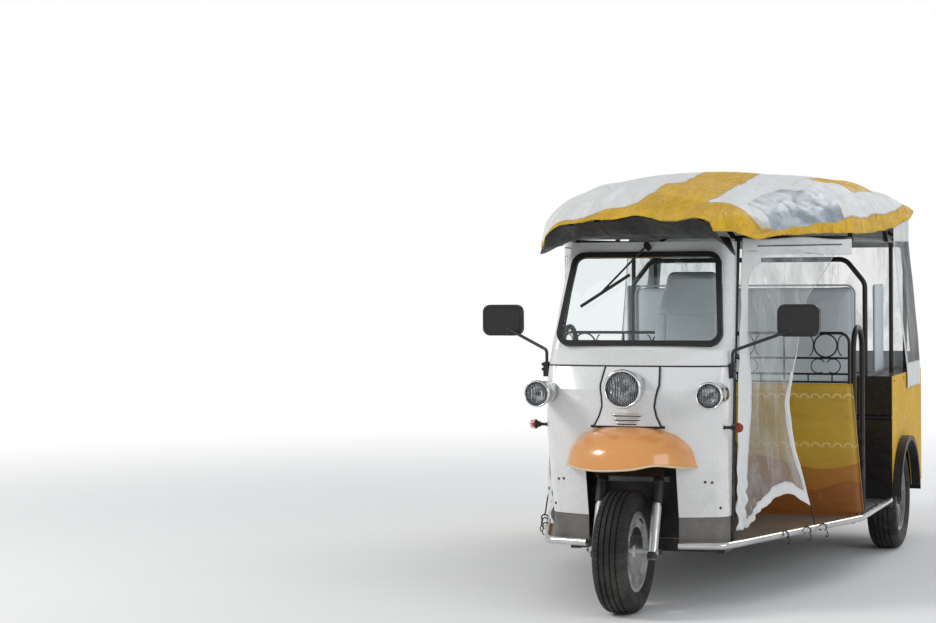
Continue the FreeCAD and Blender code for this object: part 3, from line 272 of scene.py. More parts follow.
def cover_cloth(name):
    """Coated cloth in white and yellow panels with painted shade in the valleys of its folds, and a clear window let in
    whose grey-blue tone is painted shade for the dim space seen through it; the panels come as attributes.
    """
    s = Shade(name)
    panel = s.attribute("panel")
    white = s.over(s.ramp(s.noise(3, 6, .7), .45, .8), .2, (.88, .885, .88), (.64, .63, .61))
    rub = s.ramp(s.noise(6, 6, .7, (1, 1, 1), .6), .4, .75)
    yellow = s.over(rub, .55, (.82, .49, .018), (.60, .315, .010))
    cloth = s.mix(s.ramp(panel, -.0015, .0015), white, yellow)
    cloth = s.over(s.ramp(s.math("ABSOLUTE", panel), .004, .009, 1, 0), .35, cloth, (.25, .17, .05))
    normal = s.bump(s.plus(s.wave("X", 700.0), s.wave("Y", 700.0)), .06, .0005)
    long_folds = s.apart(s.noise(4.5, 7, .62, (2.6, .7, 1), 1.8), .5)
    cross_folds = s.apart(s.noise(6.0, 6, .6, (.8, 2.4, 1), 1.2), .5)
    normal = s.bump(cross_folds, .5, .04, s.bump(long_folds, .75, .05, normal))
    # painted shade: the valleys of the long folds are darkened, the yellow panels more than the white
    fold_shade = s.ramp(long_folds, 0, .035, 1, 0)
    cloth = s.over(fold_shade, s.ramp(panel, -.0015, .0015, .07, .38), cloth, (.26, .15, .01))
    fabric = s.surface({"Specular IOR Level": .22}, Base_Color=cloth, Normal=normal,
                       Roughness=s.patchy(12, .36, .56))
    # painted shade: the window is drawn nearly opaque, grey-blue with darker streaks, standing for the dim space seen
    # through the clear pane
    pane_painted_shade = s.mix(s.ramp(s.noise(14, 5, .6, (1, .25, 1), .8), .35, .65), (.26, .32, .37), (.60, .66, .70))
    pane = s.surface({"Specular IOR Level": .4}, Base_Color=pane_painted_shade, Roughness=.34, Alpha=.85,
                     Normal=s.bump(s.noise(16, 5, .6, (1, .4, 1), 1.0), .5, .01))
    s.done(s.blended(s.ramp(s.attribute("window"), -.001, .001), fabric, pane))


def curtain_cloth(name):
    """White coated cloth with a hazy clear pane where the pane attribute is positive."""
    s = Shade(name)
    base, shown = (.74, .75, .74), s.attribute("pane")
    cloth = s.over(s.ramp(s.noise(5, 6, .7), .4, .8), .45, base, toned(base, .66))
    cloth = s.over(s.ramp(s.apart(shown, -.006), .0006, .0018, 1, 0), .55, cloth, (.28, .28, .28))
    crease = s.noise(17, 5, .6, (1, 1, .35), 1.4)
    fabric = s.surface({"Sheen Weight": .08}, Base_Color=cloth, Roughness=s.patchy(12, .4, .6),
                       Normal=s.bump(crease, .3, .008))
    haze = s.ramp(s.noise(7, 6, .65, (1, 1, .3), 1.0), .38, .75, .10, .34)
    streaks = s.ramp(s.noise(26, 5, .65, (1, 1, .12), .8), .56, .74, 0, .22)
    pane = s.surface({"Coat Weight": .5, "Coat Roughness": .12}, Base_Color=(.66, .69, .69), Roughness=.16,
                     Alpha=s.math("ADD", haze, streaks, True), Normal=s.bump(crease, .55, .01))
    s.done(s.blended(s.ramp(shown, -.0008, .0008), fabric, pane))


def board_print(name):
    """Mustard upholstery fading to brown at its foot, with printed hills and scallop bands."""
    s = Shade(name)
    x, z = s.axis(0), s.axis(2)
    tone = s.mix(s.ramp(z, .66, .34), varied(s, (.56, .345, .028), .1, 4), (.47, .20, .016))
    far = s.plus(s.times(s.math("SINE", s.times(x, 8.1)), .035), .545)
    near = s.plus(s.times(s.math("SINE", s.plus(s.times(x, 17.0), 2.0)), .022), .43)
    tone = s.over(s.ramp(s.minus(far, z), -.002, .002), .8, tone, (.36, .125, .012))
    leaf = s.node("TexVoronoi", {"feature": "F1"}, Vector=s.stretched((20, 1, 11), (0, .5, 0)), Scale=1.0,
                  Randomness=.25).outputs["Distance"]
    leaves = s.times(s.ramp(leaf, .24, .28, 1, 0), s.ramp(s.minus(far, z), .02, .03))
    tone = s.over(leaves, .65, tone, (.55, .30, .03))
    tone = s.over(s.ramp(s.minus(near, z), -.002, .002), .75, tone, (.27, .08, .009))
    pitch = 19.0
    for height, strength in ((.845, .6), (.612, .45)):
        fx = s.minus(s.math("FRACT", s.times(x, pitch)), .5)
        dz = s.times(s.minus(z, height), pitch)
        ring = s.math("SQRT", s.plus(s.times(fx, fx), s.times(dz, dz)))
        arc = s.times(s.ramp(s.apart(ring, .38), .06, .09, 1, 0), s.ramp(dz, -.02, .02))
        tone = s.over(arc, strength, tone, (.84, .70, .36))
    normal = s.bump(s.noise(8, 5, .55, (1, 1, 2.2), 1.6), .35, .01, s.grain(700.0, .12))
    s.done(s.surface({"Coat Weight": .15, "Coat Roughness": .3}, Base_Color=tone, Normal=normal,
                     Roughness=s.patchy(25, .34, .5)))


def reflector(name):
    """Bright bowl with painted dark reflection patches; its ribs give light and dark rings round the bulb, bumped and
    with painted shade in their grooves.
    """
    s = Shade(name)
    ribs = s.wave("X", 30.0)
    # painted reflection: near-black and bright patches in the bowl's metal colour; below, painted shade darkens the rib
    # grooves into rings
    tone = s.mix(s.ramp(s.noise(34, 4, .6), .38, .62), (.035, .038, .042), (.66, .67, .68))
    tone = s.over(s.ramp(ribs, .2, .8), .3, tone, (.30, .31, .32))
    s.done(s.surface({"Metallic": 1.0}, Base_Color=tone, Roughness=s.patchy(60, .10, .22),
                     Normal=s.bump(ribs, .35, .004)))


def thin_lens(name, tint, flutes):
    """Clear fluted lens, thin enough to see the bowl through."""
    s = Shade(name)
    lines = s.wave("X", flutes)
    veil = s.ramp(s.noise(30, 5, .65), .3, .75, .03, .09)
    s.done(s.surface({"Coat Weight": .5, "Coat Roughness": .02}, Base_Color=varied(s, tint, .08, 20), Roughness=.05,
                     Alpha=s.plus(veil, s.times(s.ramp(lines, .78, 1.0), .12)), Normal=s.bump(lines, .3, .002)))


def colour_lens(name, tint):
    """Fluted lens of coloured plastic."""
    s = Shade(name)
    s.done(s.surface({"Transmission Weight": .85, "IOR": 1.45}, Base_Color=varied(s, tint, .06, 20), Roughness=.12,
                     Normal=s.bump(s.wave("X", 90), .25, .002)))


paint("frame_black", (.011, .011, .012), .36, coat=.12, vary=.2, top=1.1, specular=.35)
paint("body_white", (.78, .785, .78), .26, coat=.6, vary=.035, dust=.45, top=.85, dent=.05, streak=.10)
paint("body_yellow", (.74, .44, .040), .55, vary=.08, dust=.12, top=.7, streak=.12, specular=.2)
paint("guard_orange", (.76, .33, .085), .22, coat=.7, vary=.06, dust=.2)
paint("trim_grey", (.155, .145, .135), .55, vary=.2, dust=.5, top=.6, streak=.2)
paint("trim_black", (.011, .011, .012), .42, vary=.2, dust=.10, top=1.2)
paint("wall_black", (.009, .010, .014), .25, coat=.5, vary=.3, dust=.04, top=.6, dent=.12)
paint("bright_tube", (.68, .68, .67), .2, metal=1, vary=.1, top=.5, streak=.2)
paint("fork_silver", (.55, .56, .56), .33, metal=.7, vary=.08, dust=.35, top=.8, upper=(.575, (.012, .012, .012)))
paint("rim_silver", (.60, .61, .61), .3, metal=.75, dust=.35, top=.7)
paint("axle_steel", (.045, .038, .034), .6, metal=.3, vary=.4, dust=.6, top=.8)
paint("lamp_chrome", (.80, .80, .80), .1, metal=1, vary=.06, dust=.12, top=1.2, grain=(120, .01))
paint("mirror_glass", (.85, .86, .87), .02, metal=1, vary=.01, dust=.05, top=1.4, grain=(20, .002))
paint("dial", (.62, .63, .62), .3, vary=.1, dust=.1, top=1.2)
paint("cream_edge", (.70, .58, .36), .4, vary=.1, top=.9)
rubber("seal_rubber", (.014, .014, .014), .42, .1, 1.0)
rubber("tyre_rubber", (.011, .011, .011), .62, .17, .5)
vinyl("cover_lining", (.010, .010, .011), .4, 500, .3)
vinyl("seat_vinyl", (.60, .66, .69))
vinyl("seat_piping", (.40, .45, .49), .4, 900, .05)
clear("screen_glass", (.86, .92, .92))
thin_lens("lamp_clear", (.70, .74, .76), 34.0)
colour_lens("lamp_amber", (.50, .045, .015))
colour_lens("lamp_red", (.55, .02, .015))
for make, name in ((tread_plate, "floor_sheet"), (reflector, "reflector"), (cover_cloth, "cover_fabric"),
                   (curtain_cloth, "curtain_fabric"), (board_print, "pad_mustard")):
    make(name)

CAD_FINISH = {
    "frame_black": "chassis_frame roof_frame driver_seat_box rack roll_hoop rear_bumper grab_hoops",
    "body_white": "front_cowl screen_panel nose_panel", "body_yellow": "tail_panel quarter_panels",
    "guard_orange": "mudguard", "trim_grey": "skirts", "floor_sheet": "floor_pan", "pad_mustard": "partition",
    "trim_black": "wheelhouse wiper dashboard mirrors tail_lamps", "wall_black": "bench_box rear_tub",
    "seal_rubber": "windscreen_seal grips fender_flares", "screen_glass": "windscreen_glass",
    "lamp_chrome": "headlamp side_lamps", "lamp_amber": "indicators", "cover_fabric": "canopy",
    "curtain_fabric": "rear_cover front_curtains", "bright_tube": "handlebar brake_disc side_tubes",
    "seat_vinyl": "driver_cushion driver_back bench_cushion bench_back side_pads", "fork_silver": "fork",
    "axle_steel": "rear_axle drive_motor leaf_springs", "rim_silver": "front_rim rear_rim_left rear_rim_right",
    "tyre_rubber": "front_tyre rear_tyre_left rear_tyre_right",
}
for finish, names in CAD_FINISH.items():
    for ob in (nodes[name] for name in names.split()):
        if not ob.material_slots:
            ob.data.materials.append(M[finish])
        for material_slot in ob.material_slots:
            material_slot.material = M[finish]


def piece(name, verts, faces, finish, body="chassis", slot=None, replaces=(), lining=None, thickness=0.0,
          sharp=None, attributes=None):
    """A new mesh at its place, in the frame's own coordinates, riding on a body."""
    mesh = bpy.data.meshes.new(name)
    mesh.from_pydata([tuple(float(c) for c in v) for v in verts], [], [tuple(int(i) for i in f) for f in faces])
    mesh.update()
    ob = placed(name, mesh)
    mesh.materials.append(M[finish])
    for key, values in (attributes or {}).items():
        mesh.attributes.new(key, "FLOAT", "POINT").data.foreach_set("value", np.asarray(values, np.float32))
    if lining:
        mesh.materials.append(M[lining])
    if thickness:
        shell = ob.modifiers.new("thick", "SOLIDIFY")
        shell.thickness, shell.offset, shell.use_even_offset = thickness, -1.0, False
        if lining:
            shell.material_offset = 1
        settle(ob)
    ob.data.polygons.foreach_set("use_smooth", [True] * len(ob.data.polygons))
    if sharp:
        ob.data.set_sharp_from_angle(angle=math.radians(sharp))
    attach(ob, body)
    if replaces:
        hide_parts(*replaces)
    return ob


def settle(ob):
    """Applies the object's modifiers to its mesh."""
    bpy.context.view_layer.update()
    depsgraph = bpy.context.evaluated_depsgraph_get()
    mesh = bpy.data.meshes.new_from_object(ob.evaluated_get(depsgraph))
    ob.modifiers.clear()
    ob.data = mesh


def sheet_grid(nu, nv, wrap_u=False, wrap_v=False, start=0):
    """Quads of a grid whose points run v fastest."""
    faces = []
    for i in range(nu if wrap_u else nu - 1):
        for j in range(nv if wrap_v else nv - 1):
            a, b = i * nv + j, i * nv + (j + 1) % nv
            c, d = (i + 1) % nu * nv + (j + 1) % nv, (i + 1) % nu * nv + j
            faces.append((start + a, start + b, start + c, start + d))
    return faces


def sweep(points, radius, sides=10, closed=False):
    """Tube mesh along a line of points; radius is one number or one per point."""
    pts = np.array([tuple(p) for p in points], float)
    n = len(pts)
    radii = np.full(n, radius) if np.isscalar(radius) else np.array(radius, float)
    nxt, prv = np.roll(pts, -1, 0), np.roll(pts, 1, 0)
    if not closed:
        nxt[-1], prv[0] = pts[-1], pts[0]
    tangent = nxt - prv
    tangent /= np.maximum(np.linalg.norm(tangent, axis=1), 1e-9)[:, None]
    side = np.cross(tangent[0], (0, 0, 1.0))
    if np.linalg.norm(side) < .1:
        side = np.cross(tangent[0], (0, 1.0, 0))
    verts = []
    for i in range(n):
        side = side - tangent[i] * side.dot(tangent[i])
        side /= np.linalg.norm(side)
        other = np.cross(tangent[i], side)
        for a in (2 * math.pi * k / sides for k in range(sides)):
            verts.append(pts[i] + radii[i] * (side * math.cos(a) + other * math.sin(a)))
    faces = sheet_grid(n, sides, closed, True)
    if not closed:
        faces += [tuple(range(sides))[::-1], tuple(range((n - 1) * sides, n * sides))]
    return verts, faces


def lathe(profile, centre, axis=(0, 1, 0), sides=40):
    """Surface turned about an axis; the profile is (radius, distance along the axis)."""
    along = Vector(axis).normalized()
    side = along.orthogonal().normalized()
    other = along.cross(side)
    verts = []
    for r, a in profile:
        for angle in (2 * math.pi * k / sides for k in range(sides)):
            verts.append(Vector(centre) + along * a + (side * math.cos(angle) + other * math.sin(angle)) * r)
    return verts, sheet_grid(len(profile), sides, False, True)


def joined(*meshes):
    """Several meshes as one."""
    verts, faces = [], []
    for v, f in meshes:
        base = len(verts)
        verts += list(v)
        faces += [tuple(base + i for i in face) for face in f]
    return verts, faces


def mirrored(mesh, sign=-1):
    """The mesh on the other side, or as it is where the sign is positive."""
    verts, faces = mesh
    if sign > 0:
        return verts, faces
    return [Vector((-v[0], v[1], v[2])) for v in verts], [tuple(reversed(f)) for f in faces]


def arc3(a, m, b, n):
    """Points of the arc from a through m to b in a plane."""
    (ax, ay), (bx, by), (cx, cy) = a, m, b
    d = 2 * (ax * (by - cy) + bx * (cy - ay) + cx * (ay - by))
    p, q, r = ax * ax + ay * ay, bx * bx + by * by, cx * cx + cy * cy
    centre = np.array([(p * (by - cy) + q * (cy - ay) + r * (ay - by)) / d,
                       (p * (cx - bx) + q * (ax - cx) + r * (bx - ax)) / d])
    angles = np.unwrap([math.atan2(k[1] - centre[1], k[0] - centre[0]) for k in (a, m, b)])
    radius = math.hypot(ax - centre[0], ay - centre[1])
    t = np.linspace(angles[0], angles[2], n)
    return np.stack([centre[0] + radius * np.cos(t), centre[1] + radius * np.sin(t)], 1)


def run_of(line):
    """Distance along the line at each of its points."""
    return np.concatenate([[0], np.cumsum(np.linalg.norm(np.diff(line, axis=0), axis=1))])


def even(line, n):
    """The line redrawn with n evenly spaced points."""
    line = np.asarray(line, float)
    run = run_of(line)
    t = np.linspace(0, run[-1], n)
    return np.stack([np.interp(t, run, line[:, k]) for k in range(line.shape[1])], 1)


def flow(x, xs, ys):
    """Smooth curve through the given values, without overshoot."""
    xs, ys = np.array(xs, float), np.array(ys, float)
    slope = np.diff(ys) / np.diff(xs)
    grad = np.concatenate([[slope[0]], np.where(slope[1:] * slope[:-1] > 0, 2 * slope[1:] * slope[:-1] /
                          (slope[1:] + slope[:-1] + 1e-12), 0), [slope[-1]]])
    k = np.clip(np.searchsorted(xs, x) - 1, 0, len(xs) - 2)
    h = xs[k + 1] - xs[k]
    t = np.clip((x - xs[k]) / h, 0, 1)
    return float((2 * t**3 - 3 * t**2 + 1) * ys[k] + (t**3 - 2 * t**2 + t) * h * grad[k]
                 + (3 * t**2 - 2 * t**3) * ys[k + 1] + (t**3 - t**2) * h * grad[k + 1])


def read_off(x, rows, curve=np.interp):
    """The other columns of a table at the value x of its first one."""
    keys, *columns = zip(*rows)
    return [float(curve(x, keys, column)) for column in columns]


def shares(n):
    """n even steps from 0 to 1."""
    return [k / (n - 1) for k in range(n)]


def unit(value):
    """The value held between 0 and 1."""
    return max(0, min(1, value))


def inside(p, outline):
    """Signed distance from p to a closed outline, positive inside it."""
    x, y = p
    best, sign = 9.0, -1
    for (ax, ay), (bx, by) in zip(outline, outline[1:] + outline[:1]):
        dx, dy = bx - ax, by - ay
        t = unit(((x - ax) * dx + (y - ay) * dy) / (dx * dx + dy * dy))
        best = min(best, math.hypot(x - ax - t * dx, y - ay - t * dy))
        if (ay > y) != (by > y) and x < ax + (y - ay) * dx / dy:
            sign = -sign
    return sign * best


def wrinkle(p, scale, seed):
    """Even random swells, between about -1 and 1."""
    return noise.noise(Vector(p) * scale + Vector((seed, seed * 1.7, -seed)))


def ridge(p, scale, seed):
    """Thin raised folds: near 1 on a crease and falling off fast."""
    return math.exp(-18 * abs(wrinkle(p, scale, seed)))


# ---------------------------------------------------------------- roof cover
# station, half width, hem height and crown height of the cover, and the stations of the bows
COVER = ((.070, .395, 1.588, 1.700), (.330, .486, 1.596, 1.800), (.750, .575, 1.622, 1.880),
         (1.4525, .735, 1.632, 1.945), (2.350, .748, 1.660, 1.965), (2.950, .748, 1.712, 1.925),
         (3.215, .715, 1.766, 1.846))
BOWS = (.55, 1.4525, 2.35, 3.046)
PEAK, HEM_BAND = COVER[0][0], .105

# outlines in plan, as x and station
FRONT_YELLOW = [(-.66, .0), (.70, .0), (.70, .60), (.534, .612), (.500, .47), (.470, .385), (.425, .335),
                (.360, .295), (.312, .27), (.300, .30), (.314, .365), (.318, .50), (.314, .649), (.300, .80),
                (.280, .985), (.270, 1.4525), (.0, 1.4525), (.004, .90), (.007, .691), (.025, .53), (.033, .407),
                (.024, .30), (.005, .225), (-.045, .196), (-.133, .186), (-.165, .150), (-.20, .118), (-.30, .110),
                (-.66, .108)]
REAR_YELLOW = [(.34, 2.02), (.62, 2.0), (.665, 2.62), (.43, 2.64)]
ROOF_WINDOW = [(.436, .452), (.452, .70), (.470, 1.0), (.549, 1.175), (.640, 1.32), (.716, 1.37), (.716, 1.30),
               (.60, .78), (.545, .60)]


def cover_section(y):
    """Half width, hem height and crown height of the cover at one station."""
    return [(a + b) / 2 for a, b in zip(read_off(y, COVER), read_off(y, COVER, flow))]


def arch(half, hem, crown, n):
    """The cover's line across the vehicle, from the left hem over the crown to the right hem."""
    h = crown - hem
    shoulder, mid, top = (half * .955, hem + h * .42), (half * .84, hem + h * .70), (half * .62, hem + h * .86)
    over = arc3(top, (0, crown), (-top[0], top[1]), 40)[1:20]
    side = np.concatenate([[(half, hem)], arc3(shoulder, mid, top, 16), over])
    return even(np.concatenate([side, [(0, crown)], side[::-1] * (-1, 1)]), n)


def peak_wave(x):
    """Waves of the peak's free edge."""
    return .008 * math.sin(x * 17 + 1.0) + .005 * math.sin(x * 31)


def peak_corner(x, front):
    """Lift of the peak's left corner and droop of its right one."""
    share = front * min(1.3, max(0.0, (abs(x) - .20) / .19)) ** 1.5
    return share * (.045 if x > 0 else -.026)


def cover_mesh():
    """Cover that sags between its bows, with folds in its slack cloth and puckers along its hem."""
    nu, nv = 230, 140
    verts, panel, window = [], [], []
    for y in np.linspace(PEAK, COVER[-1][0], nu):
        half, hem, crown = cover_section(y)
        loose = 0.0  # 1 in the middle between two bows
        for a, b in zip(BOWS, BOWS[1:]):
            if a < y < b:
                loose = math.sin(math.pi * (y - a) / (b - a)) ** 1.3
        near = min(abs(y - b) for b in BOWS)
        front, rear = max(0.0, 1 - (y - PEAK) / .35), max(0.0, (y - 2.95) / .265)
        slack = max(loose, .35 * front)
        edge_band = .028 + .050 * unit((y - .55) / .9)
        for x, z in arch(half - .0055, hem, crown - .0055, nv):
            above = z - hem
            high, low = above / (crown - hem), max(0.0, 1 - above / HEM_BAND)
            out = Vector((x / half * (1.2 - high), 0, .25 + high)).normalized()
            lean = x * .55 + y * .8
            folds = .0040 * wrinkle((x, y * .8, z), 5, 3) + .0026 * wrinkle((x, y, z), 13, 9)
            pulled = .0105 * ridge((lean * .7, (x - y) * 2.1, z), 2.3, 5) \
                + .0075 * ridge((x * 2.4, lean * .8, z), 3.7, 21)
            along = y if abs(x) > half * .7 and y > .12 else x * 1.3
            band = .0075 * wrinkle((along * 1.2, above * 2.0, 1), 9, 31) \
                + .0055 * ridge((along * 2.0 + above * 3.2, above * 2.0, 4), 6.5, 13)
            push = folds * (.35 + .65 * slack) - pulled * (.12 + .88 * slack) * (1 - .6 * low) \
                + low * (.55 + .45 * low) * band - .010 * low ** 2
            push = max(push, -.0015 - max(0, near - .03) * .25 - .02 * low)
            point = Vector((x, y, z)) + out * push - Vector((0, 0, .026 * loose * max(0, high - .3) ** .7))
            point.z += front * peak_wave(x) * (1 - low) + peak_corner(x, front)
            point.z += low * .010 * wrinkle((along, 0, 2), 5, 8)
            if rear:
                point.x += math.copysign(.030 * rear * low, x)
            verts.append(at(*point))
            white_band = edge_band - (above + .010 * wrinkle((y, 0, 5), 7, 2))
            panel.append(max(inside((x, y), FRONT_YELLOW), inside((x, y), REAR_YELLOW), white_band, y - 3.150))
            window.append(inside((x, y), ROOF_WINDOW) if above > edge_band - .01 and x > 0 else -.02)
    return verts, [q[::-1] for q in sheet_grid(nu, nv)], {"panel": panel, "window": window}


v, f, attributes = cover_mesh()
cover = piece("roof_cover", v, f, "cover_fabric", slot="cover_fabric", replaces=("canopy",), lining="cover_lining",
              thickness=.0025, attributes=attributes)


def peak_lining():
    """Black underside of the cover's peak, drawn from its front edge back to the head of the windscreen."""
    nu, nv = 90, 34
    half, hem, crown = cover_section(PEAK)
    verts = []
    for i, (x, z) in enumerate(arch(half - .010, hem, crown - .012, nu)):
        u = 1 - 2 * i / (nu - 1)
        start = Vector((x, PEAK + .009, z + peak_wave(x) + peak_corner(x, 1.0) - .003))
        end = Vector((.372 * u, .415 + .016 * u * u, 1.604))
        for share in shares(nv):
            p = start.lerp(end, share)
            hang = math.sin(math.pi * min(1, share * 1.15)) if share < .87 else 0
            loose = abs(u) ** 6 * hang
            p.z -= .010 * hang + (.085 if u > 0 else .035) * loose
            p.x += math.copysign(.055 * loose, u)
            p.z += .006 * math.sin(math.pi * share) * wrinkle((p.x * 1.4, p.y * .6, 0), 9, 6)
            p.z -= .006 * math.sin(math.pi * share) * ridge((p.x * 1.6, p.y * .5, 0), 5, 3)
            verts.append(at(*p))
    return verts, sheet_grid(nu, nv)


lining = piece("peak_lining", *peak_lining(), "cover_lining", slot="cover_fabric", thickness=.0015)


# ---------------------------------------------------------------- side curtains
FLOOR_Z, BEND_Z, RAIL_Z = .285, 1.03, 1.602  # heights of the cab pillar's foot, bend and head


def pillar_at(z):
    """Centre of the left cab pillar at height z: upright up to its bend and raked above it."""
    if z < BEND_Z:
        return .396 + .012 * (z - FLOOR_Z) / (BEND_Z - FLOOR_Z), .3043
    share = (z - BEND_Z) / (RAIL_Z - BEND_Z)
    return .408 - .038 * share, .3043 + .2513 * share


def curtain_frame(z):
    """Front end, run along the opening and outward direction of the curtain's line at height z."""
    px, py = pillar_at(z)
    share = unit((z - FLOOR_Z) / (BEND_Z - FLOOR_Z))
    run = Vector((.814 + (.704 - .814) * share - px, 1.3375 + (1.4525 - 1.3375) * share - py, 0))
    return px, py, run / run.y, Vector((run.y, -run.x, 0)).normalized()


def on_curtain(y, z, off):
    """The point at station y on the curtain's line, off outwards."""
    px, py, run, out = curtain_frame(z)
    return at(px + run.x * (y - py) + out.x * off, y + out.y * off, z)


# height and station along the free edge; share of the way along the foot and its height
EDGE = ((.385, .505, .67, .84, .985, 1.14, 1.32, 1.425, 1.55), (.865, .828, .764, .737, .797, .893, .999, 1.15, 1.30))
FOOT = ((.0, .15, .30, .70, 1.0), (.330, .340, .402, .458, .385))


def curtain_mesh():
    """Curtain drawn forward: gathered at its waist, twisted where it is tied low at the pillar."""
    ns, nz = 84, 150
    verts, pane = [], []
    for s in shares(ns):
        foot = flow(s, *FOOT)
        for share in shares(nz):
            z = foot + (1.548 - foot) * share
            start = pillar_at(z)[1]
            width, above = flow(max(z, EDGE[0][0]), *EDGE) - start, z - foot
            waist = math.exp(-((z - .84) / .34) ** 2)
            folds = .010 * math.sin(s * 17 + z * 3.4) + .006 * math.sin(s * 36 - z * 6 + 1)
            tied = math.exp(-((s - .12) / .16) ** 2 - ((z - .42) / .13) ** 2)
            twist = tied * (.012 * math.sin(z * 70 + s * 60) + .008 * math.sin(z * 38 - s * 90))
            small = .0035 * wrinkle((s * .8, z * .5, 1), 17, 2) + .004 * ridge((s * .7 + z * .35, z * .22, 2), 8, 4)
            off = .0205 + (.35 + .65 * waist) * folds * min(1, s * 5) + twist + small
            verts.append(on_curtain(start + .006 + (width - .006) * s, z, max(.0135, min(.034, off))))
            d = min(width * s - .058 - .05 * waist, above - .034 - .03 * s,
                    width * (1 - s) - (.019 if z < 1.0 else .006))
            if width * s < .15 and z > 1.40:
                d = min(d, .09 - math.hypot(.15 - width * s, z - 1.40))
            pane.append(min(d, 1.530 - z))
    return (verts, sheet_grid(ns, nz)), pane


def header_mesh():
    """White strip on the roof rail that the curtain hangs from."""
    ns, nz = 120, 12
    verts = []
    for s in shares(ns):
        for share in shares(nz):
            z = 1.532 - .006 * math.sin(s * 9) + (1.606 - 1.532) * share
            start = pillar_at(z)[1]
            off = .0225 + .0025 * wrinkle((s * 2, z, 3), 9, 8) + .003 * (share == 0)
            verts.append(on_curtain(start + .004 + (1.4225 - start) * s, z, off))
    return verts, sheet_grid(ns, nz)


(curtain_shape, curtain_pane), header_shape = curtain_mesh(), header_mesh()
zip_line = [on_curtain(y, 1.572, .0262) + Vector((0, 0, .012 * (y - 1))) for y in np.linspace(.66, 1.34, 40)]
for side, sign in SIDES:
    curtain = piece("front_curtain_" + side, *mirrored(curtain_shape, sign), "curtain_fabric",
                    replaces=("front_curtains",), thickness=.0012, attributes={"pane": curtain_pane})
    header = piece("curtain_header_" + side, *mirrored(header_shape, sign), "curtain_fabric",
                   replaces=("front_curtains",), thickness=.002, attributes={"pane": [-.03] * len(header_shape[0])})
    piece("curtain_zip_" + side, *sweep([(sign * p.x, p.y, p.z) for p in zip_line], .0028, 6), "seal_rubber")


def tail_mesh():
    """Clear curtain wrapped round the tail, from the left side past the rear to the right side."""
    nz, back, foot = 76, 3.06, .826
    corner = [(.785, 2.578), (.785, 3.045), (.774, 3.074), (.745, 3.0855)]
    route = even(corner + [(-x, y) for x, y in corner[::-1]], 260)
    run = run_of(route)
    half, hem, crown = cover_section(back)
    roof = arch(half - .02, hem, crown - .02, 90)[-2:0:-1]
    tops = [max(hem + .035, float(np.interp(x, *roof.T))) - .012 if y > back else cover_section(y)[1] + .02
            for x, y in route]
    verts, pane = [], []
    for share in shares(nz):
        for (x, y), s, top in zip(route, run, tops):
            z = foot + (top - foot) * share
            lean = unit((z - .912) / (RAIL_Z - .912))
            fold = .004 * math.sin(s * 34 + 1.5 * math.sin(z * 3)) * (1.2 - .6 * lean) \
                + .0022 * wrinkle((s, z * .4, 0), 11, 4)
            beside = abs(x) > .78 and y < 3.05
            out = Vector((math.copysign(1, x), 0, 0)) if beside else Vector((0, 1, 0))
            verts.append(at(*(Vector((x * (1 - lean * .083), y, z)) + out * (.0055 + max(-.004, fold)))))
            from_end = min(s, run[-1] - s)
            pane.append(max(min(from_end - .022, .455 - from_end, z - .955, 1.60 - z),
                            min(from_end - .54, z - 1.00, 1.57 - z)))
    return verts, sheet_grid(nz, len(route)), pane


v, f, pane = tail_mesh()
tail_curtain = piece("tail_curtain", v, f, "curtain_fabric", replaces=("rear_cover",), thickness=.0012,
                     attributes={"pane": pane})


# ---------------------------------------------------------------- padded pieces
BOX = {name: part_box(name) for name in ("driver_cushion", "driver_back", "bench_cushion", "bench_back", "side_pads",
                                       "partition", "rack")}


def rounded_block(low, high, radius, step):
    """Closed rounded box as a grid of quads on its six sides."""
    low, high = np.array(low, float), np.array(high, float)
    size = high - low
    counts = [max(3, int(round(s / step))) for s in size]
    index, verts, faces = {}, [], []

    def vertex(key):
        if key not in index:
            p = low + size * (np.array(key) / counts)
            core = np.clip(p, low + radius, high - radius)
            away = p - core
            length = np.linalg.norm(away)
            if length > 1e-9:
                p = core + away / length * radius
            index[key] = len(verts)
            verts.append(p)
        return index[key]

    def quads(axis, a, b, turned):
        """The quads at a and b of the other two axes, on the low and on the high side of one axis."""
        for level in (0, counts[axis]):
            corners = [(a, b), (a, b + 1), (a + 1, b + 1), (a + 1, b)]
            if turned:
                corners[1], corners[3] = corners[3], corners[1]
            faces.append(tuple(vertex((*c[:axis], level, *c[axis:])) for c in corners))
            turned = not turned

    nx, ny, nz = counts
    for i in range(nx):
        for j in range(ny):
            quads(2, i, j, False)
        for k in range(nz):
            quads(1, i, k, True)
    for j in range(ny):
        for k in range(nz):
            quads(0, j, k, False)
    return verts, faces


def coordinates(ob):
    return np.array([v.co[:] for v in ob.data.vertices])


def move_to(ob, co):
    ob.data.vertices.foreach_set("co", co.astype(np.float32).ravel())


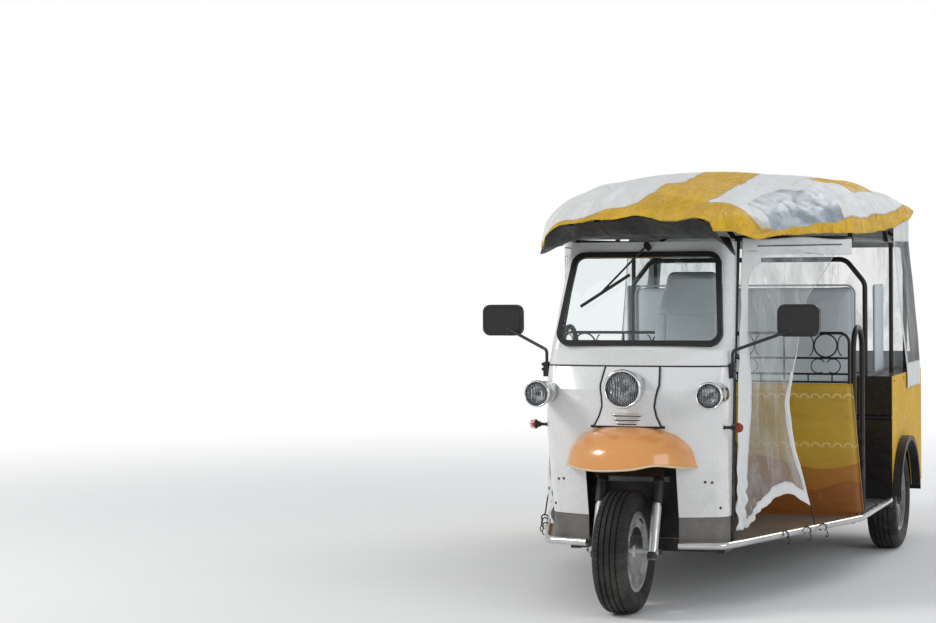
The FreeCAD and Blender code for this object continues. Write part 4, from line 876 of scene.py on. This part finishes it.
def pad(name, node, inset, radius, step, voxel, cap, sew=None, shape=None, x0=None, x1=None):
    """A stuffed piece: swollen by cloth pressure, capped, sewn and then held inside its node's box."""
    low, high = [np.array(v, float) for v in BOX[node]]
    low[0], high[0] = low[0] if x0 is None else x0, high[0] if x1 is None else x1
    ob = piece(name, *rounded_block(low + inset, high - inset, radius, step), "seat_vinyl", replaces=(node,))
    if shape:
        for vertex in ob.data.vertices:
            vertex.co = shape(vertex.co.copy())
    remesh = ob.modifiers.new("even", "REMESH")
    remesh.mode, remesh.voxel_size = "VOXEL", voxel
    settle(ob)
    start, steps = coordinates(ob), 20
    cloth = ob.modifiers.new("air", "CLOTH")
    cloth.settings.quality = 4
    cloth.settings.use_pressure = True
    cloth.settings.uniform_pressure_force = 4.0
    cloth.settings.effector_weights.gravity = 0.0
    cloth.collision_settings.use_collision = False
    cloth.point_cache.frame_start, cloth.point_cache.frame_end = 1, steps
    for step in range(1, steps + 1):
        scene.frame_set(step)
    settle(ob)
    scene.frame_set(1)
    move = coordinates(ob) - start
    far = np.linalg.norm(move, axis=1)
    move_to(ob, start + move * np.minimum(1, cap / np.maximum(far, 1e-9))[:, None])
    finer = ob.modifiers.new("finer", "SUBSURF")
    finer.levels = finer.render_levels = 1
    settle(ob)
    co = coordinates(ob)
    if sew:
        sew(co)
    move_to(ob, np.clip(co, low, high))
    ob.data.polygons.foreach_set("use_smooth", [True] * len(ob.data.polygons))
    ob.data.update()


def sewn(values, places, width):
    """1 on the lines at the given places and falling off to 0 beside them."""
    return np.max([np.exp(-((values - place) / width) ** 2) for place in places], axis=0)


def sew_cushion(co):
    """Channels across the driver's cushion and a soft dish in its middle."""
    (x, y, z), (low, high) = co.T, BOX["driver_cushion"]
    top = np.clip((z - (high.z - .05)) / .04, 0, 1)
    lines = np.maximum(sewn(y, np.linspace(low.y + .10, high.y - .09, 4), .007), sewn(x, (-.135, .135), .007))
    inner = np.clip((.15 - np.abs(x)) / .02, .3, 1)
    z -= top * (.009 * lines * inner + .010 * sewn(x, (0,), .12))


def back_outline(p):
    """Narrows the driver's backrest to its head and a little at its foot."""
    low, high = BOX["driver_back"]
    share = max(0.0, (p.z - (low.z + .42)) / (high.z - low.z - .42))
    p.x *= 1 - .42 * share ** 1.25 - .02
    p.x *= 1 - .05 * max(0.0, 1 - (p.z - low.z) / .07)
    return p


def sew_back(co):
    """Panels of the driver's backrest under a seam that wraps its head, and a soft dish."""
    (x, y, z), (low, high) = co.T, BOX["driver_back"]
    head, front = high.z - .215, np.clip((low.y + .045 - y) / .03, 0, 1)
    lines = np.maximum(sewn(z, (head, low.z + .17), .006), sewn(x, (-.125, .125), .006) * (z < head))
    y += front * .009 * lines + front * .008 * sewn(x, (0,), .10) * (z < high.z - .22)
    x *= 1 - .012 * sewn(z, (head,), .006)


def sew_bench(co):
    """Three places on the bench cushion, with a seam along its front edge."""
    (x, y, z), (low, high) = co.T, BOX["bench_cushion"]
    top = np.clip((z - (high.z - .05)) / .04, 0, 1)
    lines = np.maximum(sewn(x, (-.20, .20), .008), sewn(y, (low.y + .075,), .007) * .8)
    z -= top * (.010 * lines + .008 * sum(sewn(x, (middle,), .13) for middle in (-.395, 0, .395)))


def sew_bench_back(co):
    """Upright and level seams on the front of the bench's back."""
    (x, y, z), (low, high) = co.T, BOX["bench_back"]
    lines = np.maximum(sewn(x, (-.198, .198), .006), sewn(z, (high.z - .26, low.z + .25), .006))
    y += np.clip((low.y + .045 - y) / .03, 0, 1) * .008 * lines


pad("driver_cushion_pad", "driver_cushion", .007, .030, .012, .009, .011, sew_cushion)
pad("driver_back_pad", "driver_back", .008, .032, .012, .009, .012, sew_back, back_outline)
pad("bench_cushion_pad", "bench_cushion", .010, .034, .02, .013, .014, sew_bench)
pad("bench_back_pad", "bench_back", .009, .034, .02, .013, .012, sew_bench_back)
for side, x0, x1 in (("left", .650, None), ("right", None, -.650)):
    pad("side_board_" + side, "side_pads", .003, .008, .012, .009, .004, x0=x0, x1=x1)


def loop_rect(x0, x1, z0, z1, r, y, n=8):
    """Rounded rectangle in an upright plane, as a closed line."""
    pts = []
    for cx, cz, start in ((x1 - r, z1 - r, 0), (x0 + r, z1 - r, 90), (x0 + r, z0 + r, 180), (x1 - r, z0 + r, 270)):
        for a in (math.radians(start + 90 * k / n) for k in range(n + 1)):
            pts.append(at(cx + r * math.cos(a), y, cz + r * math.sin(a)))
    return pts


low, high = BOX["bench_back"]
outline = loop_rect(low.x + .012, high.x - .012, low.z + .01, high.z - .01, .046, low.y + MID + .012, 12)
piece("bench_back_piping", *sweep(outline, .0045, 8, True), "seat_piping", slot="seat_vinyl")


# ---------------------------------------------------------------- printed partition
def partition_mesh():
    """Both faces of the padded board, as sheets joined along their rim."""
    low, high = BOX["partition"]
    y0, y1 = low.y + MID, high.y + MID
    nx, nz = 96, 56
    verts = []
    for face in (-1, 1):
        for i in range(nx):
            u = 2 * i / (nx - 1) - 1
            for t in shares(nz):
                z = .2855 + (.9145 - .2855) * t
                half = .750 if z < .300 else .780 - (z - .297) * (.783 - .730) / (.915 - .297)
                x = half * u
                edge = min(1, min((1 - abs(u)) * half, (1 - t) * .63, t * .63 + .004) / .035)
                puff = math.sqrt(max(0, 1 - (1 - edge) ** 2))
                crease = .0025 * wrinkle((x, z * 2, face), 7, 4) \
                    + .0045 * ridge((x * .6, z * 2.0, face), 4, 7) * (puff > .9)
                y = (y0 + y1) / 2 + face * ((.006 + .014 * puff) - crease * puff)
                verts.append(at(x, min(max(y, y0 + .0005), y1 - .0005), z))
    base = nx * nz
    faces = [q[::-1] for q in sheet_grid(nx, nz)] + sheet_grid(nx, nz, start=base)
    rim = [i * nz for i in range(nx)] + [(nx - 1) * nz + k for k in range(1, nz)] \
        + [i * nz + nz - 1 for i in range(nx - 2, -1, -1)] + [k for k in range(nz - 2, 0, -1)]
    return verts, faces + [(a, b, b + base, a + base) for a, b in zip(rim, rim[1:] + rim[:1])]


board = piece("partition_board", *partition_mesh(), "pad_mustard", replaces=("partition",))


# ---------------------------------------------------------------- lamps
def lamp_set(name, end, node, thickness, x, z, front, radius, rim, bowl, back):
    """Chrome shell with rolled rim, ribbed reflector, domed clear lens and bulb."""
    mouth = radius - rim
    shell = [(mouth, front + .010), (mouth + .002, front + .002), (radius - .004, front - .001),
             (radius, front + .006), (radius + .0005, front + .018), (radius - .004, front + .024),
             (radius - .007, front + .028), (radius - .0085, back * .6 + front * .4), (radius - .012, back)]
    inner = [(mouth - .0005, front + .014)]
    for a in shares(9)[1:]:
        inner.append((mouth * (1 - a ** 1.8) + .010 * a, front + .014 + bowl * math.sin(a * math.pi / 2)))
    dome = [(mouth - .0005, front + .012)]
    for a in shares(8)[1:]:
        dome.append((mouth * math.cos(a * math.pi / 2) + .0004, front + .012 - .013 * math.sin(a * math.pi / 2)))
    bulb = [(.0002, front + .018), (radius * .10, front + .019), (radius * .17, front + .024),
            (radius * .18, front + .040), (radius * .10, front + .056)]
    for part, profile, sides, finish, options in (
            ("shell", shell, 56, "lamp_chrome", {"replaces": (node,), "thickness": thickness}),
            ("bowl", inner, 48, "reflector", {"slot": "lamp_chrome"}),
            ("lens", dome, 48, "lamp_clear", {"slot": "screen_glass", "thickness": thickness}),
            ("bulb", bulb, 24, "trim_black", {})):
        piece(name + part + end, *lathe(profile, at(x, 0, z), sides=sides), finish, **options)


lamp_set("headlamp_", "", "headlamp", .002, 0, .960, -.022, .084, .012, .05, .10)
for side, sign in SIDES:
    lamp_set("side_lamp_", "_" + side, "side_lamps", .0015, sign * .382, .936, -.031, .058, .009, .036, .15)


# ---------------------------------------------------------------- cowl details
# height, station of the nose, station where the front turns into the side, half width
LEVELS = ((.400, .118, .222, .398), (.600, .078, .182, .402), (.800, .055, .152, .406), (.950, .082, .168, .410),
          (1.050, .150, .200, .410))


def cowl_line(z, n, out):
    """Plan line of the cowl at one level, from the left side round the nose to the right."""
    nose, edge, half = read_off(z, LEVELS)
    nose, edge, half, corner = nose - out, edge - out, half + out, .052
    reach = (half - corner) / half
    side, front = (half, edge + corner * .8), (half - corner, nose + (edge - nose) * reach * reach)
    middle = ((side[0] + 2 * half + front[0]) / 4, (side[1] + 2 * edge + front[1]) / 4)
    left = [(half, .292)] + list(arc3(side, middle, front, 10))
    across = list(arc3(front, (0, nose), (-front[0], front[1]), 40))[1:-1]
    return even(left + across + [(-x, y) for x, y in left[::-1]], n)


def on_cowl(x, z, out=0.0):
    """The point on the cowl's front, or out ahead of it."""
    middle = cowl_line(z, 200, out)[20:-20]
    middle = middle[np.argsort(middle[:, 0])]
    return at(x, float(np.interp(x, *middle.T)), z)


seam = [at(x, y, 1.0505) for x, y in cowl_line(1.0495, 90, .0005)]
piece("cowl_seam", *sweep(seam, .0032, 8), "seal_rubber")
TRIM = ((.122, 1.046), (.127, 1.010), (.1315, .970), (.122, .925), (.1165, .880), (.128, .838), (.1515, .792))
for side, sign in SIDES:
    line = [on_cowl(x, z, .0045) for x, z in even([(sign * x, z) for x, z in TRIM], 40)]
    piece("nose_trim_" + side, *sweep(line, .0045, 8), "seal_rubber")
low_line = [on_cowl(x, .793, .004) for x in np.linspace(-.165, .165, 30)]
piece("nose_trim_low", *sweep(low_line, .0055, 8), "seal_rubber")
for k, (z, half) in enumerate(((.846, .066), (.828, .058), (.811, .046))):
    bar = [on_cowl(x, z, .0095) for x in np.linspace(-half, half, 18)]
    piece("nose_bar_%d" % k, *sweep(bar, [.0022] + [.0050] * 16 + [.0022], 10), "lamp_chrome")
    bed = [q + Vector((0, .003, -.002)) for q in bar]
    piece("nose_bar_bed_%d" % k, *sweep(bed, [.002] + [.0065] * 16 + [.002], 10), "trim_black")


def nut(centre, axis, radius, length):
    """Six-sided nut whose foot sinks a little into what it sits on."""
    end = length + .0015
    return lathe([(.0002, -.001), (radius, -.001), (radius, length), (radius * .8, end), (.0002, end)], centre, axis, 6)


# height, half width, station of the side and station of the peak of the mudguard
GUARD = ((.632, .292, .150, -.138), (.694, .276, .145, -.120), (.750, .230, .130, -.072), (.790, .158, .110, .022),
         (.7955, .150, .108, .060))


def guard_mesh():
    """Peaked mudguard with the dip and rise of its rolled lower edge."""
    levels = [*np.linspace(0, .93, 22), *np.linspace(.94, 1, 7)]
    verts, nv = [], 90
    for share in levels:
        z = GUARD[0][0] + (GUARD[-1][0] - GUARD[0][0]) * share
        half, side_y, front_y = read_off(z, GUARD, flow)
        arc = arc3((half, side_y), (0, front_y), (-half, side_y), 60)
        for x, y in even([(half, .20), *arc, (-half, .20)], nv):
            wave = -.005 + .017 * math.exp(-((x - .165) / .07) ** 2) - .007 * math.exp(-((x + .09) / .11) ** 2) \
                + .006 * math.exp(-((x + .25) / .05) ** 2) - .008 * math.exp(-((abs(x) - .29) / .022) ** 2)
            verts.append(at(x, y, z + wave * (1 - share) ** 2))
    return verts, [q[::-1] for q in sheet_grid(len(levels), nv)], verts[:nv]


v, f, rim_line = guard_mesh()
piece("mudguard_shell", v, f, "guard_orange", replaces=("mudguard",), thickness=.0035)
bead = [p - Vector((0, 0, .001)) for p in rim_line]
piece("mudguard_bead", *sweep(bead, .0048, 8), "cream_edge", slot="guard_orange")

MIRROR_X, MIRROR_Y, MIRROR_Z = .679, .389, 1.243
STALK = ((.0085, .392), (.0085, .402), (.0065, .4025), (.006, .430), (.0115, .4305), (.0125, .443), (.018, .446),
         (.0205, .452))
LENS = ((.0205, .452), (.0212, .458), (.0205, .466), (.017, .474), (.011, .4795), (.0003, .482))


def mirror_loop(sign, grow, radius, y):
    """Outline of a mirror, grown beyond its glass."""
    x = sign * MIRROR_X
    return loop_rect(x - .082 - grow, x + .082 + grow, MIRROR_Z - .060 - grow, MIRROR_Z + .060 + grow, radius, y)


for side, sign in SIDES:
    ribbed = [(r + .0008 * (k % 2), sign * x) for k, (r, x) in enumerate(STALK)]
    for part, profile, sides, finish, old in (("stalk_", ribbed, 24, "seal_rubber", ("indicators",)),
                                              ("lens_", [(r, sign * x) for r, x in LENS], 28, "lamp_amber", ())):
        mesh = lathe(profile, at(0, .171, .790), (1, 0, 0), sides)
        piece("indicator_" + part + side, *mesh, finish, replaces=old)
    glass = mirror_loop(sign, 0, .026, MIRROR_Y + .0215)
    n = len(glass)
    piece("mirror_glass_" + side, glass + [at(sign * MIRROR_X, MIRROR_Y + .024, MIRROR_Z)],
          [(k, (k + 1) % n, n) for k in range(n)], "mirror_glass", slot="lamp_chrome")
    for part, grow, y, radius in (("rim_", .004, .0205, .0035), ("back_rim_", .001, -.0205, .003)):
        line = mirror_loop(sign, grow, .03, MIRROR_Y + y)
        piece("mirror_" + part + side, *sweep(line, radius, 8, True), "trim_black")
    ball = lathe([(.0002, -.016), (.012, -.012), (.015, 0), (.012, .012), (.0002, .016)],
                 at(sign * .649, .381, 1.201), (.3 * sign, -.2, 1), 18)
    nuts = [nut(at(sign * .4325, .216, z), (sign, 0, 0), .007, .004) for z in (1.030, 1.052)]
    piece("mirror_joint_" + side, *joined(ball, *nuts), "axle_steel")

# wire ornaments of the rack
y_rack = BOX["rack"][0].y + MID + .007
wires = []
for x in np.linspace(-.63, .63, 12):
    wires.append(sweep([at(x, y_rack, z) for z in (.921, .941, .961)], .0038, 6))
for x in (-.6, -.2, .2, .6):
    for flip in (1, -1):
        wires.append(sweep([at(x + flip * (.0585 + .022 - .022 * math.cos(a)), y_rack, 1.0955 + .048 * math.sin(a))
                            for a in np.linspace(-1.5, 1.5, 15)], .003, 6))
        wires.append(sweep([at(x + flip * (.036 + .034 * math.cos(a)), y_rack, .998 + .034 * math.sin(a))
                            for a in np.linspace(-2.2, 2.6, 24)], .003, 6))
piece("rack_wires", *joined(*wires), "frame_black")

# fork boots, collars and spindle nuts
TYRE_RADIUS, TRACK, BASE = .265, .712, 2.45
rake = math.radians(20)
leg = Vector((0, math.sin(rake), math.cos(rake)))
bellows = [(r, .220 + k * .0100 + a) for k in range(8) for r, a in ((.0255, 0), (.0215, .005))]
for side, sign in SIDES:
    centre, outward = at(0, 0, TYRE_RADIUS) + Vector((sign * .126, 0, 0)), (sign, 0, 0)
    boot = [(.0195, .214), (.024, .217), *bellows, (.024, .300), (.0245, .322), (.019, .326)]
    piece("fork_boot_" + side, *lathe(boot, centre, leg, 28), "seal_rubber", "steering")
    end = centre + Vector((sign * .0205, 0, 0))
    rings = joined(lathe([(.0212, -.031), (.0232, -.028), (.0232, -.004), (.0212, -.001)], centre, leg, 28),
                   nut(end, outward, .015, .011),
                   lathe([(.0002, .011), (.0075, .012), (.0075, .020), (.0002, .021)], end, outward, 14))
    piece("fork_nuts_" + side, *rings, "axle_steel", "steering")

# fastenings on the cowl, the screen surround and the side tubes
studs, hooks = [], []
for side, sign in SIDES:
    for x, z in ((.318, .555), (.345, .552), (.372, .44)):
        studs.append(lathe([(.0062, -.001), (.0062, .0012), (.0042, .0032), (.0002, .0036)], on_cowl(sign * x, z),
                           (0, -1, 0), 14))
    studs.append(lathe([(.008, -.002), (.008, .0015), (.005, .004), (.0002, .0045)], at(sign * .372, .484, 1.466),
                       (sign, -.25, 0), 14))
    lines = []
    for y, turn in ((.62, 1), (.80, -1), (.93, 1)):
        x = .434 + (.814 - .434) * (y - .262) / (1.3375 - .262)
        loop = [(x + .0165 * math.sin(a), y, .281 + .0165 * math.cos(a)) for a in np.linspace(-2.6, 2.6, 20)]
        tail = [(x + .018, y + turn * .004, .265), (x + .022, y + turn * .012, .247),
                (x + .016, y + turn * .020, .236), (x + .006, y + turn * .024, .240)]
        lines += [(loop, .0035), (tail, .0026)]
    lines.append(([(.630, .858, .392), (.637, .860, .352), (.643, .860, .318), (.648, .860, .300)], .0035))
    hooks += [sweep([at(sign * x, y, z) for x, y, z in line], radius, 6) for line, radius in lines]
piece("panel_studs", *joined(*studs), "axle_steel")
piece("tube_hooks", *joined(*hooks), "trim_black")

# instrument on the dash
dash, facing = at(0, .322, 1.085), (0, .80, .60)
pod = lathe([(.0002, -.052), (.030, -.050), (.044, -.030), (.047, 0), (.046, .006), (.042, .006)], dash, facing, 36)
piece("instrument_pod", *pod, "trim_black", thickness=.002)
piece("instrument_dial", *lathe([(.042, .003), (.0002, .003)], dash, facing, 36), "dial", slot="lamp_chrome")

# tail: lamp lenses, tailgate edge, latches, bare plate and bolts
TAIL = 3.083
for side, sign in SIDES:
    for z, r, depth, finish, level in ((.640, .052, .038, "lamp_red", "high_"),
                                       (.520, .044, .034, "lamp_amber", "low_")):
        face, centre = TAIL + depth, at(sign * .705, 0, z)
        dome = [(r - .004, face - .002), (r - .0045, face + .003), (r - .010, face + .007), (r * .5, face + .0105),
                (.0003, face + .0115)]
        piece("tail_lens_" + level + side, *lathe(dome, centre), finish)
        ring = [(r - .001, face - .006), (r + .0012, face - .003), (r + .0008, face + .0025),
                (r - .0035, face + .003), (r - .0045, face - .001)]
        piece("tail_ring_" + level + side, *lathe(ring, centre), "lamp_chrome")
gate = loop_rect(-.56, .56, .335, .878, .035, TAIL + .0012)
piece("tailgate_edge", *sweep(gate, .0028, 6, True), "seal_rubber")
latches = []
for x in (-.40, .40):
    latches.append(lathe([(.0002, TAIL + .018), (.016, TAIL + .016), (.020, TAIL + .008), (.022, TAIL - .001)],
                         at(x, 0, .835), sides=24))
    latches.append(sweep([at(x + dx, TAIL + .008, .335) for dx in (-.035, .035)], .0085, 12))
piece("tailgate_latches", *joined(*latches), "bright_tube")
v, f = rounded_block((-.130, TAIL + .0045, .560), (.130, TAIL + .0065, .680), .0009, .02)
piece("number_plate_blank", [at(*p) for p in v], f, "dial", slot="lamp_chrome")
bolts = [nut(at(x, TAIL + .0062, .620), (0, 1, 0), .0055, .003) for x in (-.090, .090)]
for x in (-.60, -.30, 0, .30, .60):
    bolts.append(lathe([(.006, TAIL), (.006, TAIL + .002), (.0002, TAIL + .0045)], at(x, 0, .862), sides=12))
for side, sign in SIDES:
    for y in (2.20, 2.50, 2.80, 3.03):
        bolts.append(lathe([(.006, -.001), (.006, .0015), (.0002, .004)], at(sign * .785, y, .885), (sign, 0, 0), 12))
piece("tail_bolts", *joined(*bolts), "axle_steel")


# ---------------------------------------------------------------- tyres and hubs
WHEELS = (("front", "", 0, 0, 1), ("rear", "_left", TRACK, BASE, 1), ("rear", "_right", -TRACK, BASE, -1))
WALL = [(-.046, .168), (-.060, .172), (-.0685, .186), (-.0745, .205), (-.0752, .221), (-.0735, .234), (-.0690, .2445),
        (-.0640, .2510), (-.0555, .2583)]


def tyre_mesh(x, y):
    """Tyre with grooved crown, small blocks at the shoulders and ribbed side walls."""
    n = 180
    ring = [(a, r, False) for a, r in WALL]
    for centre in (-.037, -.0125, .0125, .037):
        for shift, groove in ((-.0085, 0), (-.0035, 0), (-.0022, .0065), (.0022, .0065), (.0035, 0)):
            a = centre + shift
            ring.append((a, TYRE_RADIUS - 1.215 * a * a - groove, True))
    ring += [(-a, r, False) for a, r in reversed(WALL)]
    verts = []
    for k in range(n):
        angle = 2 * math.pi * k / n
        for a, r, tread in ring:
            if k % 3 == 0 and tread and abs(a) > .026:
                r -= .004
            if k % 3 == 0 and not tread and r > .244:
                r -= .0045
            verts.append(at(x + a, y + r * math.cos(angle), TYRE_RADIUS + r * math.sin(angle)))
    return verts, [q[::-1] for q in sheet_grid(n, len(ring), True, False)]


for end, side, x, y, sign in WHEELS:
    piece(end + "_tread" + side, *tyre_mesh(x, y), "tyre_rubber", end + "_wheel" + side,
          replaces=(end + "_tyre" + side,), sharp=35)

CAP = ((.030, .047), (.0305, .056), (.026, .066), (.014, .071), (.0002, .072))
for end, side, x, y, sign in WHEELS:
    hub, outward, body = at(x, y, TYRE_RADIUS), (sign, 0, 0), end + "_wheel" + side
    if end == "rear":
        cap = lathe([(r, sign * a) for r, a in CAP], hub, (1, 0, 0), 32)
        piece("hub_cap_" + end + side, *cap, "trim_black", body)
        ring = [nut(hub + Vector((sign * .0475, .036 * math.cos(a), .036 * math.sin(a))), outward, .0062, .008)
                for a in np.arange(5) * 2 * math.pi / 5]
        piece("lug_bolts_" + end + side, *joined(*ring), "axle_steel", body)
    rise, rim = Vector((0, math.cos(1.1), math.sin(1.1))), Vector((sign, 0, 0))
    stem, inward = hub + rim * .050 + rise * .150, (rim * .8 - rise).normalized()
    line = [stem, stem + inward * .012, stem + inward * .026]
    piece("valve_" + end + side, *sweep(line, [.0045, .0038, .0035], 8), "seal_rubber", body)


# ---------------------------------------------------------------- floor and backdrop
s = Shade("studio_floor")
far = s.ramp(s.filled(s.node("VectorMath", {"operation": "LENGTH"}), "Value", s.place), 3.0, 9.5)
plain = s.node("BsdfDiffuse", None, Color=s.mix(s.noise(2, 3), (.86, .86, .855), (.89, .89, .885))).outputs[0]
glow = s.node("Emission", None, Color=(1.0, 1.0, 1.0), Strength=1.0).outputs[0]
path = s.node("LightPath").outputs
seen = s.math("MAXIMUM", path["Is Camera Ray"], s.math("MAXIMUM", path["Is Glossy Ray"], path["Is Transmission Ray"]))
s.done(s.blended(s.times(far, seen), plain, glow))
spread = np.linspace(-60, 60, 24)
mesh = bpy.data.meshes.new("studio_floor")
mesh.from_pydata([(x, y, 0) for x in spread for y in spread], [], sheet_grid(len(spread), len(spread)))
mesh.materials.append(M["studio_floor"])
placed("studio_floor", mesh)

scene.world = bpy.data.worlds.new("studio")
s = Shade("studio", scene.world)
path = s.node("LightPath").outputs
shown = s.node("Background", None, Color=(1, 1, 1)).outputs[0]
lit = s.node("Background", None, Color=(.90, .93, .97), Strength=.62).outputs[0]
s.done(s.blended(s.math("MAXIMUM", path["Is Camera Ray"], path["Is Transmission Ray"]), lit, shown), "OutputWorld")
